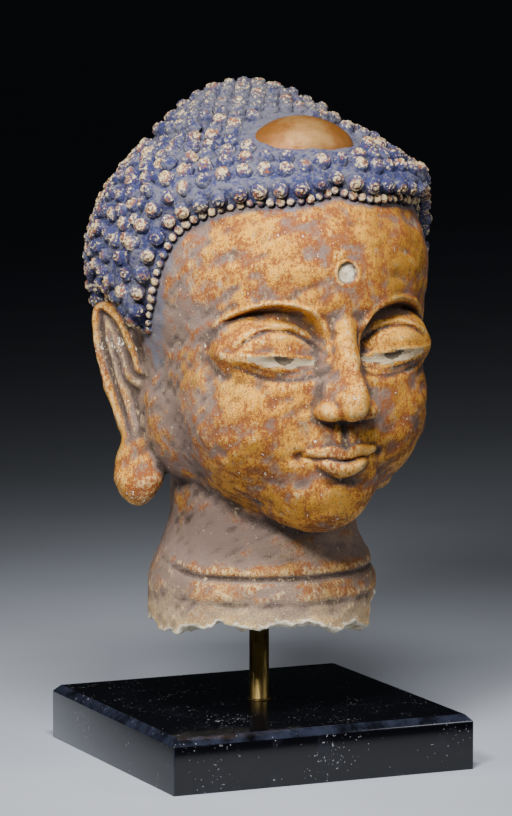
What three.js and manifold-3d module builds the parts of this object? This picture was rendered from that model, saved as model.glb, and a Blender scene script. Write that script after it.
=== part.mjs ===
// A moulded stucco head with rows of snail-shell curls, a smooth jewel dome and long-lobed ears,
// broken off at the neck, held by a brass rod in a black lacquered plinth.
// Millimetres, +Z up. The origin is the middle of the plinth's underside, and the face looks
// towards -Y, turned a little towards +X.

import * as THREE from 'three';
import { ConvexHull } from 'three/addons/math/ConvexHull.js';
import { ConvexGeometry } from 'three/addons/geometries/ConvexGeometry.js';
import { mergeVertices } from 'three/addons/utils/BufferGeometryUtils.js';
import Module from 'manifold-3d';

const wasm = await Module();
wasm.setup();
const { clamp, degToRad, lerp, radToDeg, smoothstep } = THREE.MathUtils;

// Plinth
const plinthWidth = 260;
const plinthDepth = 260;
const plinthHeight = 44.5;
const plinthChamfer = 5.4;

// Rod
const rodDiameter = 16;
const rodFootDepth = 26;
const rodInHead = 110;
const ringDiameter = 20;
const ringHeight = 1.2;
const openRod = 63.5;
const fitClearance = 0.3;
const roundSides = 24;
const cutOvershoot = 5;

// Head as a whole: the face's height runs from the chin to the notch of the hairline
const faceHeight = 268;
const neckLength = 89.5;
const headTurn = 2;

// Curls
const curlPitch = 16;
const curlRowPitch = 13.8;
const curlHeight = 8.6;
const firstCurlRow = 14;
const topCurlPitch = 13.2;
const topCurlHeight = 6.2;
const topRings = 6;
const hairThickness = 9.4;
const hairEdgeShare = 0.25;
const hairlineSetBack = 16;
const hairlineRoll = 6.3;
const beadPitch = 8;
const beadHeight = 2.6;

// Free carving is written in modules, a twelfth of the face's height: x to the side, y
// backwards, z up from the chin
const module = faceHeight / 12;
const breakLevel = -neckLength / module;
const star = new THREE.Vector3(0, 1.27, 5.6);
const headHalfWidth = 5.3;

// Small shaping functions on signed distances
const bell = (d, width) => Math.exp(-((d / width) ** 2));
const rise = (from, to, x) => smoothstep(x, from, to);
const fall = (from, to, x) => 1 - smoothstep(x, to, from);

function join(a, b, softness) {
  const share = clamp(0.5 + (0.5 * (b - a)) / softness, 0, 1);
  return b * (1 - share) + a * share - softness * share * (1 - share);
}

const cut = (a, b, softness) => -join(-a, -b, softness);

function ellipsoid(p, centre, radii) {
  const q = p.map((value, i) => (value - centre[i]) / radii[i]);
  const reach = Math.hypot(...q);
  const slope = Math.hypot(q[0] / radii[0], q[1] / radii[1], q[2] / radii[2]);
  return (reach * (reach - 1)) / Math.max(slope, 1e-6);
}

function roundBar(p, start, end, startRadius, endRadius) {
  const along = end.map((value, i) => value - start[i]);
  const from = p.map((value, i) => value - start[i]);
  const length2 = along.reduce((sum, value) => sum + value * value, 0);
  const dot = from.reduce((sum, value, i) => sum + value * along[i], 0);
  const share = clamp(dot / length2, 0, 1);
  const off = from.map((value, i) => value - share * along[i]);
  return Math.hypot(...off) - lerp(startRadius, endRadius, share);
}

// Nearest place on a line of [a, b] points: its distance, its side and its share of the length
function nearestOn(line, a, b) {
  let best = { distance: Infinity, side: 1, share: 0 };
  for (let i = 0; i < line.length - 1; i += 1) {
    const [a1, b1] = line[i];
    const da = line[i + 1][0] - a1;
    const db = line[i + 1][1] - b1;
    const share = clamp(((a - a1) * da + (b - b1) * db) / (da * da + db * db + 1e-12), 0, 1);
    const offA = a - a1 - share * da;
    const offB = b - b1 - share * db;
    const distance = Math.hypot(offA, offB);
    if (distance < best.distance) {
      const side = Math.sign(da * offB - db * offA);
      best = { distance, side, share: (i + share) / (line.length - 1) };
    }
  }
  return best;
}

// Hairline: its height at each angle from the front, with a small notch in the middle and an arch
// over the ear
const hairline = [
  [0, 12.0], [4, 11.85], [10, 11.68], [24, 11.6], [31, 11.42], [37, 11.2], [42, 10.9], [46, 10.5],
  [49, 9.9], [52, 9.1], [56, 7.9], [60, 6.95], [66, 7.1], [75, 7.8], [84, 8.15], [92, 7.9], [100, 6.6],
  [110, 5.4], [125, 4.5], [150, 3.9], [180, 3.7],
];

function hairlineLevel(azimuth) {
  const angle = Math.abs(azimuth);
  const next = Math.max(1, hairline.findIndex(([a]) => a >= angle));
  const [a1, z1] = hairline[next - 1];
  const [a2, z2] = hairline[next];
  return lerp(z1, z2, (angle - a1) / (a2 - a1));
}

// Angle round the head from the front; the hairline is set further back on one side
function hairAngle(x, y) {
  const azimuth = radToDeg(Math.atan2(x, star.y - y));
  const back = azimuth > 0 ? hairlineSetBack * rise(25, 54, azimuth) * fall(80, 115, azimuth) : 0;
  return Math.abs(azimuth) - back;
}

// Skull, cheeks, mouth and chin
const cranium = (p) => ellipsoid(p, [0, -0.45, 9.2], [5.62, 6.55, 4.97]);
const topknot = (p) => ellipsoid(p, [0, star.y, 12.72], [2.3, 2.3, 2.3]);

function skull(p) {
  let d = cranium(p);
  d = join(d, ellipsoid(p, [0, -2.3, 5.0], [4.45, 4.3, 4.9]), 1.8);
  d = join(d, ellipsoid(p, [2.2, -4.1, 4.3], [2.1, 2.0, 2.5]), 1.2);
  d = join(d, ellipsoid(p, [3.5, -0.7, 4.3], [1.35, 1.9, 2.6]), 0.8);
  d = join(d, ellipsoid(p, [0, -5.0, 3.1], [1.9, 1.75, 1.9]), 1.0);
  return join(d, ellipsoid(p, [0, -4.9, 1.2], [1.4, 1.3, 1.1]), 1.6);
}

// Brow line from the side of the nose over the eye to the temple, and the drop below it
const brow = new THREE.CurvePath();
brow.add(new THREE.CubicBezierCurve(
  new THREE.Vector2(0.72, 5.2), new THREE.Vector2(0.5, 6.4),
  new THREE.Vector2(0.42, 7.3), new THREE.Vector2(1.25, 7.95),
));
brow.add(new THREE.CubicBezierCurve(
  new THREE.Vector2(1.25, 7.95), new THREE.Vector2(2.15, 8.55),
  new THREE.Vector2(3.6, 8.4), new THREE.Vector2(4.45, 7.0),
));
const browLine = brow.getPoints(12).map((point) => [point.x, point.y]);

function browRelief(x, z) {
  const { distance, side, share } = nearestOn(browLine, x, z);
  const ends = rise(0, 0.25, share) * fall(0.8, 1, share);
  const below = side < 0 ? 0.4 * rise(0, 0.38, distance) * bell(Math.max(distance - 0.3, 0), 0.7) : 0;
  const ridge = 0.1 * bell(distance, 0.13) * rise(0, 0.2, share) * fall(0.85, 1, share);
  return ridge - below * ends;
}

function nose(p) {
  let d = roundBar(p, [0, -6.55, 7.9], [0, -7.62, 4.95], 0.3, 0.4);
  d = join(d, ellipsoid(p, [0, -7.58, 4.68], [0.5, 0.5, 0.46]), 0.3);
  d = join(d, roundBar(p, [0, -6.15, 7.6], [0, -6.8, 4.9], 0.45, 0.85), 0.45);
  d = join(d, ellipsoid(p, [0.68, -7.0, 4.5], [0.42, 0.58, 0.42]), 0.16);
  d = cut(d, 4.14 - p[2], 0.2);
  return cut(d, -ellipsoid(p, [0.38, -7.12, 4.1], [0.2, 0.3, 0.18]), 0.1);
}

// Half-closed eye: heights over x of the lids' edges and of the fold over the upper lid
const eyeCentre = [2.2, -4.95, 6.6];
const eyeArch = (x, halfWidth) => Math.max(1 - ((x - eyeCentre[0]) / halfWidth) ** 2, 0);
const eyeSlit = (x) => 6.3 + 0.12 * clamp((x - eyeCentre[0]) / 1.5, -1, 1);
const upperLidEdge = (x) => eyeSlit(x) + 0.1 * eyeArch(x, 1.5);
const lowerLidEdge = (x) => eyeSlit(x) - 0.26 * eyeArch(x, 1.5) ** 1.2;
const lidFold = (x) => eyeSlit(x) + eyeArch(x, 1.72) ** 0.75;

function withEye(p, d) {
  const [x, y, z] = p;
  const off = Math.abs(x - eyeCentre[0]);
  const ball = ellipsoid(p, eyeCentre, [1.9, 1.34, 1.2]);
  const near = fall(1.45, 1.95, off);
  const upper = cut(ball - 0.11 * near, upperLidEdge(x) - z, 0.06);
  const lower = cut(ball - 0.07 * near, z - lowerLidEdge(x), 0.06);
  const shown = fall(1.3, 1.8, off) * fall(-5.5, -4.8, y);
  const fold = 0.1 * bell(z - lidFold(x), 0.08) - 0.05 * bell(z - lidFold(x) - 0.2, 0.12);
  const bag = 0.05 * bell(z - lowerLidEdge(x) + 0.36 + 0.1 * eyeArch(x, 1.5), 0.09);
  const upperRim = 0.05 * bell(z - upperLidEdge(x) - 0.07, 0.07);
  const lowerRim = 0.04 * bell(z - lowerLidEdge(x) + 0.08, 0.07);
  return join(join(join(d, ball, 0.45), upper, 0.2), lower, 0.3) + (fold + bag - upperRim - lowerRim) * shown;
}

// Mouth: the lips swell between their edges and the line where they part
const mouthHalf = 1.42;
const mouthTaper = (x) => Math.sqrt(Math.max(1 - (x / mouthHalf) ** 2, 0));
const mouthLine = (x) => 2.78 - 0.06 * Math.cos(x * 3.6) * fall(0.6, 1, x) + 0.14 * rise(0.7, 1.5, x);
const upperLipEdge = (x) => mouthLine(x) + (0.5 - 0.09 * bell(x, 0.16)) * mouthTaper(x) ** 0.8 + 0.02;
const lowerLipEdge = (x) => mouthLine(x) - 0.62 * Math.sqrt(Math.max(1 - (x / 1.05) ** 2, 0));

function withMouth(p, d) {
  const [x, y, z] = p;
  const line = mouthLine(x);
  const upper = (z - line) / Math.max(upperLipEdge(x) - line, 0.02);
  const lower = (line - z) / Math.max(line - lowerLipEdge(x), 0.02);
  let swell = 0;
  if (upper > 0 && upper < 1) {
    swell = 0.3 * Math.sqrt(1 - upper) * (0.55 + 0.45 * upper) * mouthTaper(x) ** 0.6;
  } else if (lower >= 0 && lower < 1) {
    swell = 0.32 * Math.sqrt(Math.max(1 - (2 * lower - 0.9) ** 2 / 1.25, 0)) * fall(0.6, 1.1, x);
  }
  const parting = 0.13 * bell(z - line, 0.09) * fall(1.25, 1.55, x);
  const corner = 0.12 * bell(Math.hypot(x - 1.55, z - mouthLine(1.5)), 0.2);
  const lipGroove = 0.07 * bell(x, 0.14) * rise(3.2, 3.4, z) * fall(3.9, 4.2, z);
  const underLip = 0.12 * bell(Math.hypot(x * 0.45, z - 1.95), 0.28);
  return d + (parting + corner + lipGroove + underLip - swell) * fall(-5.9, -5.2, y);
}

// Round socket in the brow that once held an inlay, with a slightly raised rim
const browSocket = { level: 9.3, radius: 0.36, depth: 0.12, rim: 0.05 };

function browSocketRelief(x, z) {
  const off = Math.hypot(x, z - browSocket.level);
  const hollow = browSocket.depth * fall(browSocket.radius - 0.06, browSocket.radius + 0.06, off);
  return browSocket.rim * bell(off - browSocket.radius - 0.06, 0.07) - hollow;
}

// Bare skin of the head above the neck
function skin(point) {
  const p = [Math.abs(point[0]), point[1], point[2]];
  const [x, y, z] = p;
  let d = cut(skull(p), -ellipsoid(p, [2.15, -7.75, 6.85], [1.8, 1.5, 1.2]), 0.6);
  const front = fall(-5, -2.5, y);
  if (front > 0) {
    d -= (browRelief(x, z) + browSocketRelief(x, z)) * front;
  }
  if (y < -4 && z > 5 && z < 8.5) {
    d = withEye(p, d);
  }
  if (y < -4.5 && x < 2.4 && z > 1.2 && z < 4.5) {
    d = withMouth(p, d);
  }
  if (y < -5 && x < 2 && z > 3 && z < 9) {
    d = join(d, nose(p), 0.22);
  }
  return d;
}

// Mass of the hair between the curls: thin at the hairline, with a roll over it in front
function hairMass(p) {
  const azimuth = hairAngle(p[0], p[1]);
  const climbed = hairlineLevel(azimuth + 1) - hairlineLevel(azimuth - 1);
  const climb = climbed / (2 * degToRad(1) * headHalfWidth);
  const fromEdge = Math.max(p[2] - hairlineLevel(azimuth), 0) / Math.hypot(1, climb);
  const body = (hairThickness / module) * (hairEdgeShare + (1 - hairEdgeShare) * rise(0, 0.9, fromEdge));
  const inFront = fall(50, 78, azimuth) * (1 + rise(15, 42, azimuth));
  const roll = (hairlineRoll / module) * bell(fromEdge - 0.9, 0.6) * inFront;
  return join(cranium(p), topknot(p), 1.5) - body - roll;
}

const domeCentre = [0, -3.35, 13.25];
const dome = (p) => ellipsoid(p, domeCentre, [1.95, 1.55, 1.35]);

// Outermost place of a form along a ray
function outermost(form, origin, direction, reach = 14) {
  const at = (t) => [
    origin.x + direction.x * t, origin.y + direction.y * t, origin.z + direction.z * t,
  ];
  let outside = reach;
  while (outside > 0 && form(at(outside - 0.1)) > 0) {
    outside -= 0.1;
  }
  let inside = outside - 0.1;
  for (let i = 0; i < 14; i += 1) {
    const middle = (outside + inside) / 2;
    if (form(at(middle)) > 0) {
      outside = middle;
    } else {
      inside = middle;
    }
  }
  return new THREE.Vector3(...at(inside));
}

function aim(azimuth, elevation) {
  const a = degToRad(azimuth);
  const e = degToRad(elevation);
  return new THREE.Vector3(Math.sin(a) * Math.cos(e), -Math.cos(a) * Math.cos(e), Math.sin(e));
}

const onHair = (azimuth, elevation) => outermost(hairMass, star, aim(azimuth, elevation));

// A line over the hair from the hairline at one angle up to the crown, with its running length
function hairMeridian(azimuth) {
  let low = -60;
  let high = 88;
  for (let i = 0; i < 14; i += 1) {
    const middle = (low + high) / 2;
    const place = onHair(azimuth, middle);
    if (place.z < hairlineLevel(hairAngle(place.x, place.y))) {
      low = middle;
    } else {
      high = middle;
    }
  }
  const steps = 48;
  const line = [];
  let length = 0;
  for (let i = 0; i <= steps; i += 1) {
    const place = onHair(azimuth, lerp(high, 90, i / steps));
    length += i > 0 ? place.distanceTo(line[i - 1].place) : 0;
    line.push({ place, length, fromEdge: 0 });
  }
  return line;
}

// Meridians of one half from the front to the back, with the distance over the hair from the
// nearest place of the hairline, worked out from the straight one
const meanRadius = 6.6;
function halfMeridians(side) {
  const meridians = [];
  for (let azimuth = 0; azimuth <= 180; azimuth += 2) {
    meridians.push(hairMeridian(side * azimuth));
  }
  for (const meridian of meridians) {
    for (const step of meridian) {
      const straight = Math.min(...meridians.map((other) => other[0].place.distanceTo(step.place)));
      step.fromEdge = 2 * meanRadius * Math.asin(Math.min(straight / (2 * meanRadius), 1));
    }
  }
  return meridians;
}

const halves = [halfMeridians(1), halfMeridians(-1)];

// Place on a meridian where a running measure first passes a value, or null where it never does
function placeAt(line, measure, value) {
  const next = line.findIndex((step, i) => i > 0 && step[measure] >= value);
  if (next < 0) {
    return null;
  }
  const [a, b] = [line[next - 1], line[next]];
  const share = clamp((value - a[measure]) / (b[measure] - a[measure]), 0, 1);
  return a.place.clone().lerp(b.place, share);
}

// Middles of the curls: rows at equal distances from the hairline, and rings about the crown
function curlSpots() {
  const spots = [];
  const tryPlace = (place, height, room) => {
    const clear = spots.every((spot) => spot.place.distanceTo(place) > room);
    if (clear && dome(place.toArray()) > 0.42) {
      spots.push({ place, height });
    }
  };
  const walkHalf = (meridians, placeOn, pitch, shift, height) => {
    let walked = 0;
    let wanted = shift * pitch;
    let before = null;
    for (const meridian of meridians) {
      const place = placeOn(meridian);
      if (place && before) {
        const stride = place.distanceTo(before);
        while (walked + stride >= wanted) {
          const spot = before.clone().lerp(place, (wanted - walked) / Math.max(stride, 1e-6));
          tryPlace(spot, height, pitch * 0.8);
          wanted += pitch;
        }
        walked += stride;
      }
      before = place;
    }
  };
  const walk = (...how) => halves.forEach((meridians) => walkHalf(meridians, ...how));
  const topPitch = topCurlPitch / module;
  const crown = halves[0][0][halves[0][0].length - 1].place;
  tryPlace(crown.clone(), topCurlHeight / module, 0);
  for (let ring = 1; ring <= topRings; ring += 1) {
    const height = lerp(topCurlHeight, curlHeight, (ring - 1) / topRings) / module;
    const onRing = (m) => placeAt(m, 'length', m[m.length - 1].length - ring * topPitch);
    walk(onRing, topPitch, (ring % 2) / 2, height);
  }
  const rowPitch = curlRowPitch / module;
  for (let row = 0; row < 30; row += 1) {
    const onRow = (m) => placeAt(m, 'fromEdge', firstCurlRow / module + row * rowPitch);
    walk(onRow, curlPitch / module, (row % 2) / 2, curlHeight / module);
  }
  return spots;
}

// One closed surface seen from the star point: places on it, spanned as their directions lie
function spanned(places) {
  const directions = places.map((place, index) => {
    const direction = place.clone().sub(star).normalize();
    direction.index = index;
    return direction;
  });
  const faces = new ConvexHull().setFromPoints(directions).faces;
  return faces.map((face) => {
    const { edge } = face;
    return [edge, edge.next, edge.next.next].map((side) => side.head().point.index);
  });
}

function geometryOf(places, triangles) {
  const geometry = new THREE.BufferGeometry();
  const positions = places.flatMap((place) => place.toArray());
  geometry.setAttribute('position', new THREE.Float32BufferAttribute(positions, 3));
  geometry.setIndex(triangles.flat());
  return geometry;
}

function normalOn(form, place) {
  const step = 0.02;
  const p = place.toArray();
  const slope = [0, 1, 2].map((axis) => {
    const more = p.map((value, i) => value + (i === axis ? step : 0));
    const less = p.map((value, i) => value - (i === axis ? step : 0));
    return form(more) - form(less);
  });
  return new THREE.Vector3(...slope).normalize();
}

// Curls and the hollows between them
function hairPlaces() {
  const spots = curlSpots();
  const edge = [...halves[0], ...halves[1].slice(1, -1)].map((meridian) => meridian[0].place);
  const roots = [...spots.map((spot) => spot.place), ...edge];
  const hollows = [];
  for (const corners of spanned(roots)) {
    if (corners.every((index) => index < spots.length)) {
      const middle = new THREE.Vector3();
      corners.forEach((index) => middle.add(roots[index]));
      const direction = middle.divideScalar(3).sub(star).normalize();
      const place = outermost(hairMass, star, direction);
      const span = roots[corners[0]].distanceTo(roots[corners[1]]);
      if (dome(place.toArray()) > 0.15 && span < (2 * curlPitch) / module) {
        hollows.push(place);
      }
    }
  }
  const tips = spots.map(({ place, height }) => {
    return place.clone().addScaledVector(normalOn(hairMass, place), height);
  });
  return [...tips, ...hollows];
}

// Row of beads along the hairline, and the skin close below it
function hairlinePlaces() {
  const places = [];
  for (const meridians of halves) {
    const ridge = meridians.map((meridian) => placeAt(meridian, 'length', 0.15));
    const foot = meridians.map((meridian) => meridian[0].place);
    const curve = new THREE.CatmullRomCurve3(ridge);
    const footCurve = new THREE.CatmullRomCurve3(foot);
    const count = Math.round((curve.getLength() * module) / beadPitch);
    const ends = meridians === halves[0] ? 0 : 1;
    for (let i = ends; i <= count * 2 - ends; i += 1) {
      const share = i / (count * 2);
      const bump = i % 2 === 0 ? beadHeight / module : 0;
      const crest = curve.getPoint(share);
      crest.addScaledVector(crest.clone().sub(star).normalize(), bump);
      places.push(crest);
      if (i % 2 === 0) {
        const below = footCurve.getPoint(share);
        below.z -= 0.16;
        places.push(outermost(skin, star, below.sub(star).normalize()));
      }
    }
  }
  return places;
}

function domePlaces() {
  const places = [];
  const rings = [[0, 1], [0.55, 8], [1.05, 14], [1.45, 20]];
  const middle = new THREE.Vector3(...domeCentre).sub(star).normalize();
  const sideways = new THREE.Vector3(1, 0, 0);
  const upwards = new THREE.Vector3().crossVectors(sideways, middle).normalize();
  const form = (p) => join(dome(p), hairMass(p), 0.1);
  for (const [radius, count] of rings) {
    for (let i = 0; i < count; i += 1) {
      const angle = (i / count) * Math.PI * 2;
      const direction = middle.clone();
      direction.addScaledVector(sideways, Math.cos(angle) * radius * 0.155);
      direction.addScaledVector(upwards, Math.sin(angle) * radius * 0.115);
      places.push(outermost(form, star, direction.normalize()));
    }
  }
  return places;
}

// Lines of the face that keep their own rows of points
const overX = (from, to, count, level) => [...Array(count + 1)].map((_, i) => {
  const x = lerp(from, to, i / count);
  return [x, level(x)];
});

function besideBrow(offset) {
  const curve = new THREE.SplineCurve(browLine.map(([x, z]) => new THREE.Vector2(x, z)));
  const count = 26;
  return [...Array(count + 1)].map((_, i) => {
    const spot = curve.getPointAt(i / count);
    const across = curve.getTangentAt(i / count).rotateAround(new THREE.Vector2(), Math.PI / 2);
    return [spot.x + across.x * offset, spot.y + across.y * offset];
  });
}

function faceLinePlaces() {
  const betweenLips = (edge, share) => (x) => lerp(mouthLine(x), edge(x), share);
  const lines = [
    besideBrow(0),
    besideBrow(-0.42),
    overX(0.8, 3.6, 12, (x) => upperLidEdge(x) + 0.08),
    overX(0.8, 3.6, 12, (x) => upperLidEdge(x) - 0.05),
    overX(0.8, 3.6, 12, (x) => lowerLidEdge(x) - 0.1),
    overX(0.8, 3.7, 12, lidFold),
    overX(0.8, 3.7, 12, (x) => lidFold(x) + 0.2),
    overX(0, 1.44, 7, mouthLine),
    overX(0, 1.24, 6, betweenLips(upperLipEdge, 0.5)),
    overX(0, 1.24, 6, betweenLips(upperLipEdge, 1.15)),
    overX(0, 1.03, 5, betweenLips(lowerLipEdge, 0.45)),
    overX(0, 0.83, 4, betweenLips(lowerLipEdge, 1.1)),
  ];
  const places = [];
  const forward = new THREE.Vector3(0, -1, 0);
  for (const [x, z] of lines.flat()) {
    const place = outermost(skin, new THREE.Vector3(Math.max(x, 0), 0, z), forward);
    if (places.every((other) => other.distanceTo(place) > 0.13)) {
      places.push(place);
    }
  }
  return places.flatMap((p) => (p.x > 0.05 ? [p, new THREE.Vector3(-p.x, p.y, p.z)] : [p]));
}

// Even grid of places on the skin, close-set on the features and wider elsewhere
function skinPlaces(kept) {
  const step = 1.9;
  const places = [];
  let row = 0;
  for (let elevation = -88; elevation < 60; elevation += step) {
    const count = Math.max(6, Math.round((360 * Math.cos(degToRad(elevation))) / step / 4) * 4);
    for (let column = 0; column < count; column += 1) {
      const azimuth = -180 + (360 * (column + (row % 2) / 2)) / count;
      const place = outermost(skin, star, aim(azimuth, elevation));
      const below = hairlineLevel(hairAngle(place.x, place.y)) - place.z;
      const eyes = Math.abs(place.x) < 3.8 && place.z > 5 && place.z < 8.6;
      const mouthAndChin = Math.abs(place.x) < 2.2 && place.z > -0.2 && place.z < 5.5;
      const features = place.y < -4.6 && (eyes || mouthAndChin);
      const front = place.y < -1.5 && place.z > -0.3;
      const every = features ? 1 : front ? 2 : 4;
      const onStep = row % every === 0 && (column + (row / every) % every) % every === 0;
      const clear = kept.every((other) => other.distanceTo(place) > (features ? 0.17 : 0.3));
      if (below > 0.35 && onStep && clear) {
        places.push(place);
      }
    }
    row += 1;
  }
  return places;
}

function headBall() {
  const lines = faceLinePlaces();
  const hairline = hairlinePlaces();
  const places = [...lines, ...hairline, ...hairPlaces(), ...domePlaces()];
  places.push(...skinPlaces([...lines, ...hairline]));
  return geometryOf(places, spanned(places));
}

// Neck: a flared column with two creases round its front and a ragged break below
const breakLine = [
  [-180, 0.86], [-150, 0.88], [-125, 0.78], [-114, 0.7], [-107, 0.92], [-85, 0.965], [-78, 1], [-66, 0.93],
  [-56, 0.87], [-40, 0.88], [-32, 0.895], [-26, 0.86], [-14, 0.835], [-6, 0.86], [4, 0.855], [12, 0.915],
  [26, 0.9], [37, 0.99], [45, 0.75], [61, 0.715], [75, 0.8], [90, 0.85], [130, 0.9], [180, 0.86],
];
function breakEdge(angle) {
  const azimuth = radToDeg(Math.atan2(Math.sin(angle), -Math.cos(angle)));
  const next = Math.max(1, breakLine.findIndex(([a]) => a >= azimuth));
  const [a1, depth1] = breakLine[next - 1];
  const [a2, depth2] = breakLine[next];
  return breakLevel * lerp(depth1, depth2, (azimuth - a1) / (a2 - a1));
}
const creases = [
  { level: -1.15, dip: 0.65, depth: 0.14 },
  { level: -2.2, dip: 0.5, depth: 0.03 },
];
const neckCentre = -0.2;

function neckRadius(angle, z) {
  const front = (1 - Math.cos(angle)) / 2;
  let radius = 3.3 + 0.85 * fall(-2.6, 0.4, z);
  for (const crease of creases) {
    const off = z - crease.level + crease.dip * front;
    radius -= (crease.depth * bell(off, 0.12) - 0.8 * crease.depth * bell(off - 0.3, 0.28)) * front;
  }
  return radius;
}

function neckColumn() {
  const sides = 40;
  const neckTop = 5.6;
  const rimHeight = 0.2;
  const rimInset = 0.12;
  const aboveRim = (level) => (front, foot) => Math.max(level(front), foot + rimHeight);
  const aroundCrease = (crease, offsets) => offsets.map((offset) => (
    aboveRim((front) => crease.level - crease.dip * front + offset)
  ));
  const places = [];
  const triangles = [];
  const levels = [
    (front, foot) => foot,
    (front, foot) => foot + rimHeight,
    ...aroundCrease(creases[1], [-0.35, -0.12, 0, 0.12, 0.4]),
    ...aroundCrease(creases[0], [-0.12, 0, 0.12, 0.35, 0.8]),
    () => 2.4,
    () => neckTop,
  ];
  for (const level of levels) {
    for (let i = 0; i < sides; i += 1) {
      const angle = (i / sides) * Math.PI * 2;
      const front = (1 - Math.cos(angle)) / 2;
      const foot = breakEdge(angle);
      const z = level(front, foot);
      const radius = z === neckTop ? 2.9 : neckRadius(angle, z) - (z === foot ? rimInset : 0);
      places.push(new THREE.Vector3(Math.sin(angle) * radius, Math.cos(angle) * radius + neckCentre, z));
    }
  }
  const last = levels.length - 1;
  for (let row = 0; row < last; row += 1) {
    for (let i = 0; i < sides; i += 1) {
      const [a, b] = [row * sides + i, row * sides + ((i + 1) % sides)];
      triangles.push([a, a + sides, b], [b, a + sides, b + sides]);
    }
  }
  const under = places.push(new THREE.Vector3(0, 0, breakLevel + 0.35)) - 1;
  const over = places.push(new THREE.Vector3(0, 0, neckTop)) - 1;
  for (let i = 0; i < sides; i += 1) {
    const next = (i + 1) % sides;
    triangles.push([under, i, next], [over, last * sides + next, last * sides + i]);
  }
  return geometryOf(places, triangles);
}

// Ear: a plate that stands off the head backwards, with a rolled rim, an inner ridge, a hollow
// and a long round lobe. Its outline runs in the plate's own plane: s backwards and t up.
const earRoot = { x: 4.7, y: -0.3 };
const earFlare = degToRad(40);
const earRim = [
  [0, 5.7], [0.3, 6.5], [0.65, 7.2], [1.1, 7.7], [1.6, 7.9], [1.95, 7.65], [2.05, 7.1], [1.95, 6.3],
  [1.7, 5.4], [1.4, 4.5], [1.1, 3.6], [0.95, 2.95],
];
const earLobe = [
  [1.15, 2.4], [1.2, 1.7], [1.0, 1.05], [0.6, 0.7], [0.1, 0.62], [-0.4, 0.95], [-0.65, 1.5], [-0.6, 2.2],
  [-0.4, 2.9], [-0.3, 3.8], [-0.2, 4.8],
];
const splineOf = (line, count) => new THREE.SplineCurve(line.map(([s, t]) => new THREE.Vector2(s, t)))
  .getPoints(count).map((point) => [point.x, point.y]);
const earOutline = splineOf([...earRim, ...earLobe, earRim[0]], 100);
const earRimLine = splineOf(earRim, 50);

function earEdges(t) {
  const hits = [];
  for (let i = 0; i < earOutline.length - 1; i += 1) {
    const [s1, t1] = earOutline[i];
    const [s2, t2] = earOutline[i + 1];
    if (t1 > t !== t2 > t) {
      hits.push(lerp(s1, s2, (t - t1) / (t2 - t1)));
    }
  }
  return [Math.min(...hits), Math.max(...hits)];
}

function earFace(s, t) {
  const inwards = nearestOn(earOutline, s, t).distance;
  const fromRim = nearestOn(earRimLine, s, t).distance;
  const carved = rise(2.9, 4, t);
  const rim = 0.2 * bell(fromRim - 0.18, 0.17) - 0.12 * bell(fromRim - 0.45, 0.11);
  const ridge = 0.1 * bell(fromRim - 0.65, 0.13) - 0.2 * rise(0.78, 1, fromRim) * rise(-0.1, 0.3, s);
  const lobe = 0.5 * bell(t - 1.45, 0.95);
  const edge = Math.sqrt(clamp(inwards / 0.16, 0, 1));
  return { outer: (0.12 + (rim + ridge) * carved + lobe * 0.8) * edge, inner: (0.3 + lobe * 0.8) * edge };
}

function earPlate(side) {
  const places = [];
  const triangles = [];
  const add = (s, t, n) => {
    const x = earRoot.x + Math.sin(earFlare) * s + Math.cos(earFlare) * n;
    const y = earRoot.y + Math.cos(earFlare) * s - Math.sin(earFlare) * n;
    return places.push(new THREE.Vector3(side * x, y, t)) - 1;
  };
  const across = [0, 0.12, 0.25, 0.4, 0.52, 0.64, 0.76, 0.88, 1];
  const behind = [0.75, 0.4, 0.1];
  const lobeLevels = [0.68, 0.85, 1.15, 1.6, 2.1, 2.6];
  const upperLevels = [3.1, 3.6, 4.1, 4.6, 5.1, 5.6, 6.1, 6.6, 7, 7.3, 7.55, 7.75, 7.86];
  const levels = [...lobeLevels, ...upperLevels];
  const size = across.length + behind.length;
  for (const t of levels) {
    const [front, rear] = earEdges(t);
    const inset = 0.02 * (rear - front);
    for (const share of across) {
      const s = lerp(front + inset, rear - inset, share);
      add(s, t, share === 0 || share === 1 ? 0 : earFace(s, t).outer);
    }
    for (const share of behind) {
      const s = lerp(front + inset, rear - inset, share);
      add(s, t, -earFace(s, t).inner);
    }
  }
  const turned = (a, b, c) => triangles.push(side > 0 ? [a, b, c] : [a, c, b]);
  for (let row = 0; row < levels.length - 1; row += 1) {
    for (let i = 0; i < size; i += 1) {
      const [a, b] = [row * size + i, row * size + ((i + 1) % size)];
      turned(a, b, a + size);
      turned(b, b + size, a + size);
    }
  }
  const low = add(0.28, 0.6, 0);
  const high = add(1.62, 7.91, 0);
  const top = (levels.length - 1) * size;
  for (let i = 0; i < size; i += 1) {
    const next = (i + 1) % size;
    turned(low, next, i);
    turned(high, top + i, top + next);
  }
  return geometryOf(places, triangles);
}

// Closed geometry to a solid and back
function solidOf(geometry) {
  geometry.deleteAttribute('normal');
  geometry.deleteAttribute('uv');
  const merged = mergeVertices(geometry, 1e-4);
  return new wasm.Manifold(new wasm.Mesh({
    numProp: 3,
    vertProperties: new Float32Array(merged.attributes.position.array),
    triVerts: new Uint32Array(merged.index.array),
  }));
}

function meshOf(name, solid, material) {
  const { vertProperties, triVerts } = solid.getMesh();
  const geometry = new THREE.BufferGeometry();
  geometry.setAttribute('position', new THREE.BufferAttribute(vertProperties, 3));
  geometry.setIndex(new THREE.BufferAttribute(triVerts, 1));
  geometry.computeVertexNormals();
  const mesh = new THREE.Mesh(geometry, material);
  mesh.name = name;
  return mesh;
}

function upright(radius, bottom, top) {
  const geometry = new THREE.CylinderGeometry(radius, radius, top - bottom, roundSides);
  geometry.rotateX(Math.PI / 2);
  geometry.translate(0, 0, (top + bottom) / 2);
  return solidOf(geometry);
}

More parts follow.
